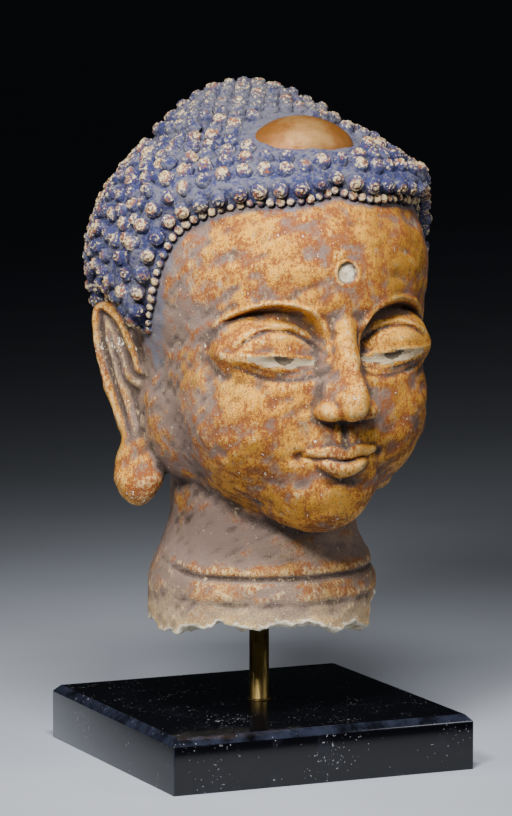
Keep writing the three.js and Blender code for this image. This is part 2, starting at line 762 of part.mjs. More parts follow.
const headBottom = plinthHeight + openRod;
const chinHeight = headBottom + neckLength;
const rodFoot = plinthHeight - rodFootDepth;
const rodTop = headBottom + rodInHead;

function plinth() {
  const corners = [];
  for (const x of [-1, 1]) {
    for (const y of [-1, 1]) {
      const [w, d] = [(x * plinthWidth) / 2, (y * plinthDepth) / 2];
      corners.push(new THREE.Vector3(w, d, 0));
      corners.push(new THREE.Vector3(w, d, plinthHeight - plinthChamfer));
      corners.push(new THREE.Vector3(w - x * plinthChamfer, d - y * plinthChamfer, plinthHeight));
    }
  }
  const hole = upright(rodDiameter / 2 + fitClearance, rodFoot - fitClearance, plinthHeight + cutOvershoot);
  const material = new THREE.MeshStandardMaterial({ color: '#121214', roughness: 0.2, metalness: 0 });
  return meshOf('plinth', solidOf(new ConvexGeometry(corners)).subtract(hole), material);
}

function mountRod() {
  const ringBottom = plinthHeight + fitClearance;
  const profile = [
    [0, rodFoot], [rodDiameter / 2, rodFoot], [rodDiameter / 2, ringBottom], [ringDiameter / 2, ringBottom],
    [ringDiameter / 2, ringBottom + ringHeight], [rodDiameter / 2, ringBottom + ringHeight],
    [rodDiameter / 2, rodTop], [0, rodTop],
  ].map(([radius, z]) => new THREE.Vector2(radius, z));
  const geometry = new THREE.LatheGeometry(profile, roundSides).rotateX(Math.PI / 2);
  const material = new THREE.MeshStandardMaterial({ color: '#7a6636', roughness: 0.45, metalness: 0.9 });
  return meshOf('mount_rod', solidOf(geometry), material);
}

function head() {
  const carved = [headBall(), neckColumn(), earPlate(1), earPlate(-1)].map((geometry) => {
    geometry.scale(module, module, module);
    return solidOf(geometry);
  });
  const whole = carved.reduce((sum, solid) => sum.add(solid));
  const socketTop = rodTop + fitClearance - chinHeight;
  const socket = upright(rodDiameter / 2 + fitClearance, -neckLength - cutOvershoot, socketTop);
  const material = new THREE.MeshStandardMaterial({ color: '#b98a45', roughness: 0.55, metalness: 0.2 });
  const mesh = meshOf('head', whole.subtract(socket), material);
  mesh.position.z = chinHeight;
  mesh.rotation.z = degToRad(headTurn);
  return mesh;
}

const statueHead = new THREE.Group();
statueHead.add(plinth(), mountRod(), head());

export default statueHead;
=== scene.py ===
# A moulded stucco head with snail-shell curls, a smooth jewel dome and long-lobed ears, broken off
# at the neck, on a brass rod in a black lacquered plinth. Metres, +Z up, with the origin in the
# middle of the plinth's underside and the face towards -Y.

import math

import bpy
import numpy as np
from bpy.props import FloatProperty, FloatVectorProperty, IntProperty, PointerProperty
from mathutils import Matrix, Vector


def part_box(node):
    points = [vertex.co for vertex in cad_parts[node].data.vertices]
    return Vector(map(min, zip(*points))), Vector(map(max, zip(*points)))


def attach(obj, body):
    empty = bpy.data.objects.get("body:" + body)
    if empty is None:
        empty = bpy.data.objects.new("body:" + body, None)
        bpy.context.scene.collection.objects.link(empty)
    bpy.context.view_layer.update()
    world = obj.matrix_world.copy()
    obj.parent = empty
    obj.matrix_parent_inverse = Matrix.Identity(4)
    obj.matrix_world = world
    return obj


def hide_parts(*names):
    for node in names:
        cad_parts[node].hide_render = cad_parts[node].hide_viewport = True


bl_info = {
    "name": "Stucco head on a plinth",
    "version": (1, 0, 0),
    "blender": (4, 5, 0),
    "location": "View3D > Sidebar > Stucco head",
    "description": "Builds a gilded stucco head with rows of curls on a rod and a plinth",
    "category": "Object",
}

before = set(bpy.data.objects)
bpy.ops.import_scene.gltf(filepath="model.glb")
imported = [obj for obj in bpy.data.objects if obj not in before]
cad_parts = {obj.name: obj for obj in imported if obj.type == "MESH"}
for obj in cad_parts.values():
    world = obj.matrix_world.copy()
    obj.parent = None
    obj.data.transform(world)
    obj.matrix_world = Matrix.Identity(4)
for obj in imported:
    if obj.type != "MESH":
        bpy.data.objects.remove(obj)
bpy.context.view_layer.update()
HEAD_LOW, HEAD_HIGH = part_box("head")
ROD_LOW, ROD_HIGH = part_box("mount_rod")
PLINTH_LOW, PLINTH_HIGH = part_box("plinth")
BODY = "root"


def linear(text):
    """Linear colour of an sRGB hex value."""
    shares = [int(text[i:i + 2], 16) / 255 for i in (1, 3, 5)]
    return tuple(c / 12.92 if c <= 0.04045 else ((c + 0.055) / 1.055) ** 2.4 for c in shares)


def colour(name, text, description):
    return FloatVectorProperty(name=name, description=description, subtype="COLOR", size=3,
                               min=0, max=1, default=linear(text))


def length(name, metres, description):
    return FloatProperty(name=name, description=description, default=metres, min=0, unit="LENGTH",
                         precision=5)


def turning(name, degrees, description):
    return FloatProperty(name=name, description=description, subtype="ANGLE", default=math.radians(degrees))


# Settings that a user would change

class StuccoHeadSettings(bpy.types.PropertyGroup):
    neck_length: length("Neck length", 0.0895, "From the chin down to the lowest point of the break")
    cell: length("Cell", 0.00225, "Size of the skin's mesh cells")
    unevenness: length("Unevenness", 0.0005, "Depth of the hand-smoothed surface's waves")
    gold: colour("Gold", "#dc9c30", "Gold leaf where it is least worn")
    old_gold: colour("Old gold", "#85491b", "Thin gold over the clay bole")
    bole: colour("Bole", "#6c3c20", "Red-brown clay under the gold")
    ground: colour("Ground", "#75675f", "Bare stucco, grey with handling")
    rubbed: colour("Rubbed edges", "#dcc08a", "Pale plaster and gold on rubbed edges")
    plaster: colour("Plaster", "#e9dfc6", "Fresh plaster in the break and the chips")
    crumb: colour("Crumb", "#b49c76", "Yellowish grit in the break")
    # This dark brown darkens the creases and hollows of the face, partly as grime and partly as painted
    # shade; it also gives the dark specks and the irises.
    soot_and_shade: colour("Soot", "#2c211a", "Dirt in the hollows")
    band: colour("Painted band", "#64656f", "Grey-blue paint below the hairline")
    eye_white: colour("Eye white", "#b3a486", "Old white paint in the eyes")


class StuccoHairSettings(bpy.types.PropertyGroup):
    curl_pitch: length("Curl pitch", 0.016, "Distance between curls in a row")
    row_pitch: length("Row pitch", 0.0138, "Distance between rows of curls")
    first_row: length("First row", 0.0125, "From the hairline to the first row of curls")
    curl_width: length("Curl width", 0.0136, "Width of a curl at its foot")
    curl_height: length("Curl height", 0.0076, "Height of a curl over the hollows")
    crown_pitch: length("Crown pitch", 0.0132, "Distance between the rings of curls on the topknot")
    crown_height: length("Crown height", 0.0062, "Height of the curls on the topknot")
    crown_rings: IntProperty(name="Crown rings", description="Rings of curls on the topknot", default=6)
    thickness: length("Hair thickness", 0.0094, "Thickness of the hair between the curls")
    edge_share: FloatProperty(name="Edge share", description="Share of the thickness left at the hairline",
                              subtype="FACTOR", min=0, max=1, default=0.25)
    roll: length("Hairline roll", 0.0063, "Extra thickness along the hairline in front")
    bead_pitch: length("Bead pitch", 0.0078, "Distance between the beads of the hairline")
    bead_width: length("Bead width", 0.0072, "Width of a bead")
    bead_height: length("Bead height", 0.0030, "Height of a bead")
    seed: IntProperty(name="Seed", description="Seed of the curls' small differences", default=7)
    pigment: colour("Pigment", "#282d5c", "Blue pigment in the hollows of the hair")
    pale_pigment: colour("Pale pigment", "#4a4e74", "Blue pigment thinned by wear")
    dust: colour("Dust", "#63616a", "Grey dust on the blue")
    worn: colour("Worn tips", "#d6bf8e", "Bare plaster on the tips of the curls")
    rust: colour("Rust", "#94592c", "Old gold and bole that show on some curls")
    shade: colour("Shade", "#232743", "Dark pigment and dirt in the deepest hollows")
    # This darkest blue is painted shade in the grooves of the curls and the deepest hollows of the hair.
    dome: colour("Dome", "#7c4d1a", "Rubbed gilding of the dome")
    dome_cap: colour("Dome cap", "#96703f", "Pale worn patch on the dome")
    dome_edge: colour("Dome edge", "#a5604e", "Pink-brown clay at the dome's edge")


class StuccoMountSettings(bpy.types.PropertyGroup):
    chamfer: length("Chamfer", 0.0054, "Chamfer round the plinth's top")
    edge_radius: length("Edge radius", 0.0007, "Rounding of the plinth's edges")
    ring_width: length("Ring width", 0.002, "How far the rod's foot ring stands out")
    ring_height: length("Ring height", 0.0012, "Height of the rod's foot ring")
    brass: colour("Brass", "#75633a", "Aged brass of the rod")
    tarnish: colour("Tarnish", "#3a2f1c", "Dark tarnish on the rod")
    lacquer: colour("Lacquer", "#07070a", "Black lacquer of the plinth")
    haze: colour("Haze", "#1b1c26", "Thin haze on the lacquer")
    # This bluish tone on the chamfer and the rounded edges is a painted sheen, with a little wear.
    edge_sheen_and_wear: colour("Edge wear", "#262a38", "Bluish worn edges of the plinth")
    dust: colour("Dust", "#9a9c9c", "Dust specks on the plinth")


class StuccoStageSettings(bpy.types.PropertyGroup):
    azimuth: turning("Azimuth", -23.86, "Camera angle round the object")
    elevation: turning("Elevation", 6.9, "Camera angle above the floor")
    distance: length("Distance", 3.5, "Camera distance from its target")
    focal_pixels: FloatProperty(name="Focal pixels", description="Focal length in pixels of the picture",
                                default=4289.1)
    aim_right: FloatProperty(name="Aim right", description="Camera's target to the right of the middle",
                             unit="LENGTH", default=-0.00254)
    aim_up: FloatProperty(name="Aim up", description="Camera's target above the floor", unit="LENGTH",
                          default=0.28122)
    floor: colour("Floor", "#a3a8b1", "Plain pale floor")


# Small shaping functions on signed distances. The head's form is written in modules, a twelfth of
# the face's height: x to the side, y backwards, z up from the chin.

def bell(d, width):
    """1 at zero, falling off smoothly over a width on either side."""
    return np.exp(-(d / width) ** 2)


def rise(start, end, x):
    """0 up to the start and 1 from the end on, with a smooth step between."""
    t = np.clip((x - start) / (end - start), 0, 1)
    return t * t * (3 - 2 * t)


def fall(start, end, x):
    return 1 - rise(start, end, x)


def join(a, b, softness):
    """Both forms as one, with a soft seam."""
    share = np.clip(0.5 + 0.5 * (b - a) / softness, 0, 1)
    return b * (1 - share) + a * share - softness * share * (1 - share)


def cut(a, b, softness):
    """What two forms share, with a soft edge."""
    return -join(-a, -b, softness)


def ellipsoid(p, centre, radii):
    q = (p - np.array(centre)) / np.array(radii)
    reach = np.sqrt((q * q).sum(1))
    q = q / np.array(radii)
    slope = np.sqrt((q * q).sum(1))
    return reach * (reach - 1) / np.maximum(slope, 1e-6)


def round_bar(p, start, end, start_radius, end_radius):
    start = np.array(start)
    run = np.array(end) - start
    share = np.clip(((p - start) @ run) / (run @ run), 0, 1)
    off = p - start - share[:, None] * run
    return np.sqrt((off * off).sum(1)) - (start_radius + (end_radius - start_radius) * share)


def nearest_on(line, a, b):
    """Distance from each (a, b) to a line of points, its side, and the share of the line there."""
    line = np.array(line, float)
    best = np.full(len(a), 1e9)
    side = np.ones(len(a))
    share = np.zeros(len(a))
    runs = np.hypot(*(line[1:] - line[:-1]).T)
    starts = np.concatenate([[0], np.cumsum(runs)])
    for i in range(len(line) - 1):
        da, db = line[i + 1] - line[i]
        t = np.clip(((a - line[i, 0]) * da + (b - line[i, 1]) * db) / (da * da + db * db + 1e-12), 0, 1)
        off_a = a - line[i, 0] - t * da
        off_b = b - line[i, 1] - t * db
        distance = np.hypot(off_a, off_b)
        near = distance < best
        best = np.where(near, distance, best)
        side = np.where(near, np.sign(da * off_b - db * off_a), side)
        share = np.where(near, (starts[i] + t * runs[i]) / starts[-1], share)
    return best, side, share


def waves(p, size, seed, count=14):
    """Soft uneven waves of about unit height whose length is near the given size."""
    random = np.random.default_rng(seed)
    total = np.zeros(len(p))
    for _ in range(count):
        direction = random.normal(size=3)
        direction *= 2 * math.pi / (size * np.linalg.norm(direction) * random.uniform(0.6, 1.5))
        total += np.sin(p @ direction + random.uniform(0, 2 * math.pi))
    return total / math.sqrt(count / 2)


def bezier(points, steps):
    """Points on cubic pieces that share their ends."""
    points = np.array(points, float)
    out = [points[:1]]
    for i in range(0, len(points) - 1, 3):
        t = np.linspace(0, 1, steps + 1)[1:, None]
        a, b, c, d = points[i:i + 4]
        out.append((1 - t) ** 3 * a + 3 * (1 - t) ** 2 * t * b + 3 * (1 - t) * t * t * c + t ** 3 * d)
    return np.concatenate(out)


def closed_curve(points, steps):
    """Smooth closed line through points."""
    p = np.array(points, float)
    t = np.linspace(0, 1, steps, endpoint=False)[:, None]
    out = []
    for i in range(len(p)):
        a, b, c, d = p[i - 1], p[i], p[(i + 1) % len(p)], p[(i + 2) % len(p)]
        bend = (2 * a - 5 * b + 4 * c - d) * t ** 2 + (3 * b - a - 3 * c + d) * t ** 3
        out.append(0.5 * (2 * b + (c - a) * t + bend))
    out.append(out[0][:1])
    return np.concatenate(out)


# Hairline, skull and neck. STAR is the point that the hair's lines spread from, HAIRLINE its level at
# each angle from the front, and SET_BACK the degrees by which one side of it lies further back.

STAR = np.array([0, 1.27, 5.6])
HAIRLINE = np.array([(0, 12.0), (4, 11.85), (10, 11.68), (24, 11.6), (31, 11.42), (37, 11.2), (42, 10.9),
                     (46, 10.5), (49, 9.9), (52, 9.1), (56, 7.9), (60, 6.95), (66, 7.1), (75, 7.8),
                     (84, 8.15), (92, 7.9), (100, 6.6), (110, 5.4), (125, 4.5), (150, 3.9), (180, 3.7)])
HALF_WIDTH = 5.3
SET_BACK = 16


def azimuth_of(p):
    """Angle round the head from the front; the hairline is set further back on one side."""
    azimuth = np.degrees(np.arctan2(p[:, 0], STAR[1] - p[:, 1]))
    back = SET_BACK * rise(25, 54, azimuth) * fall(80, 115, azimuth) * (azimuth > 0)
    return np.abs(azimuth) - back


def hairline_at(azimuth):
    return np.interp(np.abs(azimuth), HAIRLINE[:, 0], HAIRLINE[:, 1])


def over_hairline(p):
    return p[:, 2] - hairline_at(azimuth_of(p))


def from_hairline(p):
    """Distance from the hairline along the surface, above it or below it."""
    azimuth = azimuth_of(p)
    climb = (hairline_at(azimuth + 1) - hairline_at(azimuth - 1)) / (2 * math.radians(1) * HALF_WIDTH)
    return over_hairline(p) / np.hypot(1, climb)


def cranium(p):
    return ellipsoid(p, (0, -0.45, 9.2), (5.62, 6.55, 4.97))


def skull(p):
    """Cranium, face, cheek, side of the jaw, mouth and chin, joined in turn."""
    d = join(cranium(p), ellipsoid(p, (0, -2.3, 5.0), (4.45, 4.3, 4.9)), 1.8)
    d = join(d, ellipsoid(p, (2.2, -4.1, 4.3), (2.1, 2.0, 2.5)), 1.2)
    d = join(d, ellipsoid(p, (3.5, -0.7, 4.3), (1.35, 1.9, 2.6)), 0.8)
    d = join(d, ellipsoid(p, (0, -5.0, 3.1), (1.9, 1.75, 1.9)), 1.0)
    return join(d, ellipsoid(p, (0, -4.9, 1.2), (1.4, 1.3, 1.1)), 1.6)


# Creases of the neck: level at the back, how far each dips in front, and depth
CREASES = ((-1.15, 0.65, 0.14), (-2.2, 0.5, 0.03))


def neck(p):
    z = p[:, 2]
    front = fall(-2.5, 1.5, p[:, 1])
    shown = fall(-2.8, 1.2, p[:, 1])
    d = np.hypot(p[:, 0], p[:, 1] + 0.2) - (3.3 + 0.85 * fall(-2.6, 0.4, z))
    for level, dip, depth in CREASES:
        off = z - level + dip * front
        d = d + (depth * bell(off, 0.13) - 0.5 * depth * bell(off - 0.3, 0.28)) * shown
    return cut(d, z - 5, 0.3)


# Face: brow line from the side of the nose over the eye to the temple, nose, eyes and mouth

BROW = bezier([(0.72, 5.2), (0.5, 6.4), (0.42, 7.3), (1.25, 7.95), (2.15, 8.55), (3.6, 8.4), (4.45, 7.0)], 16)
EYE = (2.2, -4.95, 6.6)
BROW_SOCKET = 9.3
MOUTH_HALF = 1.42


def brow_relief(x, z):
    distance, side, share = nearest_on(BROW, x, z)
    ends = rise(0, 0.25, share) * fall(0.8, 1, share)
    below = 0.4 * (side < 0) * rise(0, 0.38, distance) * bell(np.maximum(distance - 0.3, 0), 0.7)
    return 0.1 * bell(distance, 0.13) * rise(0, 0.2, share) * fall(0.85, 1, share) - below * ends


def brow_socket_relief(x, z):
    off = np.hypot(x, z - BROW_SOCKET)
    return 0.05 * bell(off - 0.42, 0.07) - 0.12 * fall(0.3, 0.42, off)


def nose(p):
    d = round_bar(p, (0, -6.55, 7.9), (0, -7.62, 4.95), 0.3, 0.4)
    d = join(d, ellipsoid(p, (0, -7.58, 4.68), (0.5, 0.5, 0.46)), 0.3)
    d = join(d, round_bar(p, (0, -6.15, 7.6), (0, -6.8, 4.9), 0.45, 0.85), 0.45)
    d = join(d, ellipsoid(p, (0.68, -7.0, 4.5), (0.42, 0.58, 0.42)), 0.16)
    d = cut(d, 4.14 - p[:, 2], 0.2)
    return cut(d, -ellipsoid(p, (0.38, -7.12, 4.1), (0.2, 0.3, 0.18)), 0.1)


def eye_arch(x, half_width):
    return np.maximum(1 - ((x - EYE[0]) / half_width) ** 2, 0)


def lid_levels(x):
    """Heights over x of the upper lid's edge, the lower lid's edge and the fold over the upper lid."""
    slit = 6.3 + 0.12 * np.clip((x - EYE[0]) / 1.5, -1, 1)
    arch = eye_arch(x, 1.5)
    return slit + 0.1 * arch, slit - 0.26 * arch ** 1.2, slit + eye_arch(x, 1.72) ** 0.75


def with_eye(p, d):
    x, y, z = p.T
    off = np.abs(x - EYE[0])
    ball = ellipsoid(p, EYE, (1.9, 1.34, 1.2))
    upper_edge, lower_edge, fold_line = lid_levels(x)
    near = fall(1.45, 1.95, off)
    upper = cut(ball - 0.11 * near, upper_edge - z, 0.06)
    lower = cut(ball - 0.07 * near, z - lower_edge, 0.06)
    shown = fall(1.3, 1.8, off) * fall(-5.5, -4.8, y)
    fold = 0.1 * bell(z - fold_line, 0.08) - 0.05 * bell(z - fold_line - 0.2, 0.12)
    bag = 0.05 * bell(z - lower_edge + 0.36 + 0.1 * eye_arch(x, 1.5), 0.09)
    edges = 0.05 * bell(z - upper_edge - 0.07, 0.07) + 0.04 * bell(z - lower_edge + 0.08, 0.07)
    d = join(join(join(d, ball, 0.45), upper, 0.2), lower, 0.3)
    return d + (fold + bag - edges) * shown


def mouth_levels(x):
    """Heights over x of the line where the lips part, of the upper edge and of the lower edge."""
    taper = np.sqrt(np.maximum(1 - (x / MOUTH_HALF) ** 2, 0))
    line = 2.78 - 0.06 * np.cos(x * 3.6) * fall(0.6, 1, x) + 0.14 * rise(0.7, 1.5, x)
    upper = line + (0.5 - 0.09 * bell(x, 0.16)) * taper ** 0.8 + 0.02
    lower = line - 0.62 * np.sqrt(np.maximum(1 - (x / 1.05) ** 2, 0))
    return line, upper, lower


def with_mouth(p, d):
    x, y, z = p.T
    taper = np.sqrt(np.maximum(1 - (x / MOUTH_HALF) ** 2, 0))
    line, top, low = mouth_levels(x)
    upper = (z - line) / np.maximum(top - line, 0.02)
    lower = (line - z) / np.maximum(line - low, 0.02)
    above = 0.3 * np.sqrt(np.clip(1 - upper, 0, 1)) * (0.55 + 0.45 * upper) * taper ** 0.6
    below = 0.32 * np.sqrt(np.clip(1 - (2 * lower - 0.9) ** 2 / 1.25, 0, 1)) * fall(0.6, 1.1, x)
    swell = above * ((upper > 0) & (upper < 1)) + below * ((lower >= 0) & (lower < 1))
    parting = 0.15 * bell(z - line, 0.07) * fall(1.25, 1.55, x)
    corner = 0.12 * bell(np.hypot(x - 1.55, z - 2.9), 0.2)
    lip_groove = 0.07 * bell(x, 0.14) * rise(3.2, 3.4, z) * fall(3.9, 4.2, z)
    lip_groove -= 0.04 * bell(x - 0.26, 0.11) * rise(3.25, 3.5, z) * fall(3.9, 4.2, z)
    under_lip = 0.12 * bell(np.hypot(x * 0.45, z - 1.95), 0.28)
    return d + (parting + corner + lip_groove + under_lip - swell) * fall(-5.9, -5.2, y)


def skin(p):
    """Bare head and neck for places with x of 0 or more."""
    x, y, z = p.T
    d = cut(skull(p), -ellipsoid(p, (2.15, -7.75, 6.85), (1.8, 1.5, 1.2)), 0.6)
    front = fall(-5, -2.5, y)
    near = front > 0
    d[near] -= (brow_relief(x[near], z[near]) + brow_socket_relief(x[near], z[near])) * front[near]
    near = (y < -4) & (z > 5) & (z < 8.5)
    d[near] = with_eye(p[near], d[near])
    near = (y < -4.5) & (x < 2.4) & (z > 1.2) & (z < 4.5)
    d[near] = with_mouth(p[near], d[near])
    near = (y < -5) & (x < 2) & (z > 3) & (z < 9)
    d[near] = join(d[near], nose(p[near]), 0.22)
    return d


# Ear: a plate that stands off the head backwards, with a rolled rim, an inner ridge, a hollow and
# a long round lobe. Its outline runs in the plate's own plane, s backwards and t up.

EAR_ROOT = (4.7, -0.3)
EAR_FLARE = math.radians(40)
EAR_RIM = [(0, 5.7), (0.3, 6.5), (0.65, 7.2), (1.1, 7.7), (1.6, 7.9), (1.95, 7.65), (2.05, 7.1), (1.95, 6.3),
           (1.7, 5.4), (1.4, 4.5), (1.1, 3.6), (0.95, 2.95)]
EAR_LOBE = [(1.15, 2.4), (1.2, 1.7), (1.0, 1.05), (0.6, 0.7), (0.1, 0.62), (-0.4, 0.95), (-0.65, 1.5),
            (-0.6, 2.2), (-0.4, 2.9), (-0.3, 3.8), (-0.2, 4.8)]
EAR_OUTLINE = closed_curve(EAR_RIM + EAR_LOBE, 6)
EAR_RIM_LINE = EAR_OUTLINE[:6 * len(EAR_RIM) - 5]


def inside_outline(a, b, line):
    hits = np.zeros(len(a), bool)
    for (a1, b1), (a2, b2) in zip(line[:-1], line[1:]):
        hits ^= ((b1 > b) != (b2 > b)) & (a < (a2 - a1) * (b - b1) / (b2 - b1 + 1e-12) + a1)
    return hits


def ear_plane(p):
    """Place in the ear's plane: s backwards along the plate, t up, n off its outer face."""
    x = p[:, 0] - EAR_ROOT[0]
    y = p[:, 1] - EAR_ROOT[1]
    s = math.sin(EAR_FLARE) * x + math.cos(EAR_FLARE) * y
    n = math.cos(EAR_FLARE) * x - math.sin(EAR_FLARE) * y
    return s, p[:, 2], n


def ear(p):
    s, t, n = ear_plane(p)
    edge, _, _ = nearest_on(EAR_OUTLINE, s, t)
    edge = np.where(inside_outline(s, t, EAR_OUTLINE), -edge, edge)
    from_rim, _, _ = nearest_on(EAR_RIM_LINE, s, t)
    carved = rise(2.9, 4, t)
    rim = 0.2 * bell(from_rim - 0.18, 0.17) - 0.12 * bell(from_rim - 0.45, 0.11)
    ridge = 0.1 * bell(from_rim - 0.65, 0.13) - 0.2 * rise(0.78, 1, from_rim) * rise(-0.1, 0.3, s)
    lobe = 0.4 * bell(t - 1.45, 0.95)
    soft = 0.16 + 0.5 * bell(t - 1.3, 1.2)
    d = cut(edge, n - (0.12 + (rim + ridge) * carved + lobe), soft)
    return cut(d, -n - 0.3 - lobe, soft + 0.08)


# Patches of gilding left on the neck: middle and width
NECK_GILDING = (((-3.25, -2.1, -3.1), 0.75), ((1.2, -3.7, -2.4), 0.6), ((0.1, -3.9, -3.6), 0.4))
# Break of the neck: its level at each angle round the neck from the front, as a share of the neck
BREAK = np.array([(-180, 0.86), (-150, 0.88), (-125, 0.78), (-114, 0.7), (-107, 0.92), (-85, 0.965), (-78, 1),
                  (-66, 0.93), (-56, 0.87), (-47, 0.85), (-40, 0.88), (-32, 0.895), (-26, 0.86), (-14, 0.835),
                  (-6, 0.86), (4, 0.855), (12, 0.915), (26, 0.9), (39, 1), (44, 0.75), (61, 0.715), (75, 0.8),
                  (90, 0.85), (130, 0.9), (180, 0.86)])


def break_level(p, neck_modules):
    angle = np.degrees(np.arctan2(p[:, 0], -p[:, 1]))
    share = np.interp(angle, BREAK[:, 0], BREAK[:, 1])
    out = np.hypot(p[:, 0], p[:, 1]) / 4
    hollow = 0.25 * fall(0.4, 1.0, out)
    return -share * neck_modules + hollow + 0.07 * waves(p * (1, 1, 0.3), 0.9, 3) + 0.03 * waves(p, 0.35, 4)


def skin_form(p, skin_set, module):
    """The whole skin piece: head, neck and ears, cut off under the hair and at the break."""
    q = p.copy()
    q[:, 0] = np.abs(q[:, 0])
    d = join(skin(q), neck(q), 0.35)
    d = cut(d, scalp_level(p, 0.5) * 0.75, 0.1)
    near = (q[:, 0] > 3) & (q[:, 2] > -0.5) & (q[:, 2] < 9)
    d[near] = join(d[near], ear(q[near]), 0.25)
    d = d - (skin_set.unevenness / module) * (waves(p, 1.6, 5) + 0.4 * waves(p, 0.5, 6))
    low = p[:, 2] < -2
    d[low] = cut(d[low], break_level(p[low], skin_set.neck_length / module) - p[low][:, 2], 0.05)
    return d


def scalp_level(p, above):
    """Level near the hairline at the surface, and a plain one round the middle of the head."""
    near_surface = rise(1.5, 4, np.hypot(p[:, 0], p[:, 1] - STAR[1]))
    return (over_hairline(p) - above) * near_surface + (p[:, 2] - 8) * (1 - near_surface)


def hair_mass(p, hair, module):
    """Mass of the hair between the curls: thin at the hairline, with a roll over it in front."""
    topknot = ellipsoid(p, (0, STAR[1], 12.72), (2.3, 2.3, 2.3))
    from_edge = np.maximum(from_hairline(p), 0)
    azimuth = azimuth_of(p)
    body = hair.thickness / module * (hair.edge_share + (1 - hair.edge_share) * rise(0, 0.9, from_edge))
    in_front = fall(50, 78, azimuth) * (1 + rise(15, 42, azimuth))
    return join(cranium(p), topknot, 1.5) - body - hair.roll / module * bell(from_edge - 0.9, 0.6) * in_front


def ground_form(p, hair, module):
    """The hair's ground: its mass above the hairline, lumpy with old paint and dust."""
    d = cut(hair_mass(p, hair, module), -scalp_level(p, 0) * 0.75, 0.2)
    return d - 0.025 * waves(p, 0.9, 11)


DOME_CENTRE = (0, -3.35, 13.25)
DOME_RADII = (1.95, 1.55, 1.35)


def dome_form(p):
    return ellipsoid(p, DOME_CENTRE, DOME_RADII) - 0.018 * waves(p, 2.2, 21) - 0.005 * waves(p, 0.5, 22)


# Meshes from signed distances

READ_AT_ONCE = 300000
HALVINGS = 14


def surface_net(form, low, high, cell, block=4):
    """Vertices and quads of a form's zero surface. The form is only read closely near it."""
    low = np.array(low, float)
    counts = np.ceil((np.array(high) - low) / (cell * block)).astype(int) * block
    axes = [low[i] + cell * np.arange(counts[i] + 1) for i in range(3)]
    coarse = np.stack(np.meshgrid(*[axis[::block] for axis in axes], indexing="ij"), -1)
    shape = coarse.shape[:3]
    rough = form(coarse.reshape(-1, 3)).reshape(shape)
    values = rough.repeat(block, 0).repeat(block, 1).repeat(block, 2)
    values = values[:counts[0] + 1, :counts[1] + 1, :counts[2] + 1].copy()
    near = np.abs(rough) < cell * block * 1.8
    active = np.zeros([s - 1 for s in shape], bool)
    steps = np.array([(i, j, k) for i in (0, 1) for j in (0, 1) for k in (0, 1)])
    for i, j, k in steps:
        active |= near[i:shape[0] - 1 + i, j:shape[1] - 1 + j, k:shape[2] - 1 + k]
    blocks = np.argwhere(active) * block
    needed = np.zeros(values.shape, bool)
    run = np.arange(block + 1)
    needed[(blocks[:, 0, None] + run)[:, :, None, None],
           (blocks[:, 1, None] + run)[:, None, :, None],
           (blocks[:, 2, None] + run)[:, None, None, :]] = True
    spots = np.argwhere(needed)
    places = np.stack([axes[i][spots[:, i]] for i in range(3)], -1)
    runs = [form(places[i:i + READ_AT_ONCE]) for i in range(0, len(places), READ_AT_ONCE)]
    values[tuple(spots.T)] = np.concatenate(runs)

    inside = values < 0
    corners_in = np.zeros([s - 1 for s in values.shape], np.uint8)
    for i, j, k in steps:
        corners_in += inside[i:values.shape[0] - 1 + i, j:values.shape[1] - 1 + j, k:values.shape[2] - 1 + k]
    cells = np.argwhere((corners_in > 0) & (corners_in < 8))
    at_corner = np.stack([values[tuple((cells + step).T)] for step in steps], 1)
    offset = np.zeros((len(cells), 3))
    crossings = np.zeros(len(cells))
    for a in range(8):
        for b in range(a + 1, 8):
            if np.abs(steps[a] - steps[b]).sum() != 1:
                continue
            first, second = at_corner[:, a], at_corner[:, b]
            crossed = (first < 0) != (second < 0)
            share = np.where(crossed, first / np.where(crossed, first - second, 1), 0)[:, None]
            offset += np.where(crossed[:, None], steps[a] + share * (steps[b] - steps[a]), 0)
            crossings += crossed
    vertices = low + (cells + offset / crossings[:, None]) * cell
    index = np.full(corners_in.shape, -1, np.int32)
    index[tuple(cells.T)] = np.arange(len(cells))
    quads = []
    for axis, (one, two) in enumerate(((1, 2), (2, 0), (0, 1))):
        first = np.delete(inside, -1, axis)
        second = np.delete(inside, 0, axis)
        edges = np.argwhere(first != second)
        within = (edges[:, one] > 0) & (edges[:, two] > 0)
        within &= (edges[:, one] < values.shape[one] - 1) & (edges[:, two] < values.shape[two] - 1)
        edges = edges[within]
        corners = []
        for back_one, back_two in ((-1, -1), (0, -1), (0, 0), (-1, 0)):
            around = edges.copy()
            around[:, one] += back_one
            around[:, two] += back_two
            corners.append(index[tuple(around.T)])
        quad = np.stack(corners, 1)
        outwards = first[tuple(edges.T)]
        quads.append(np.where(outwards[:, None], quad, quad[:, ::-1]))
    return vertices, np.concatenate(quads)


def slope_of(form, places, step=0.02):
    sides = [form(places + step * np.eye(3)[i]) - form(places - step * np.eye(3)[i]) for i in range(3)]
    return np.stack(sides, 1) / (2 * step)


def settle(form, places, rounds=2):
    """Move places onto a form's surface along its slope."""
    for _ in range(rounds):
        slope = slope_of(form, places)
        steep = np.maximum((slope * slope).sum(1), 0.15)
        places = places - np.clip(form(places) / steep, -0.05, 0.05)[:, None] * slope
    return places


def surface_of(form, low, high, cell):
    """Vertices and quads of a form's surface, settled onto it."""
    vertices, quads = surface_net(form, low, high, cell)
    return settle(form, vertices), quads


def directions_of(slope):
    return slope / np.maximum(np.linalg.norm(slope, axis=1), 1e-9)[:, None]


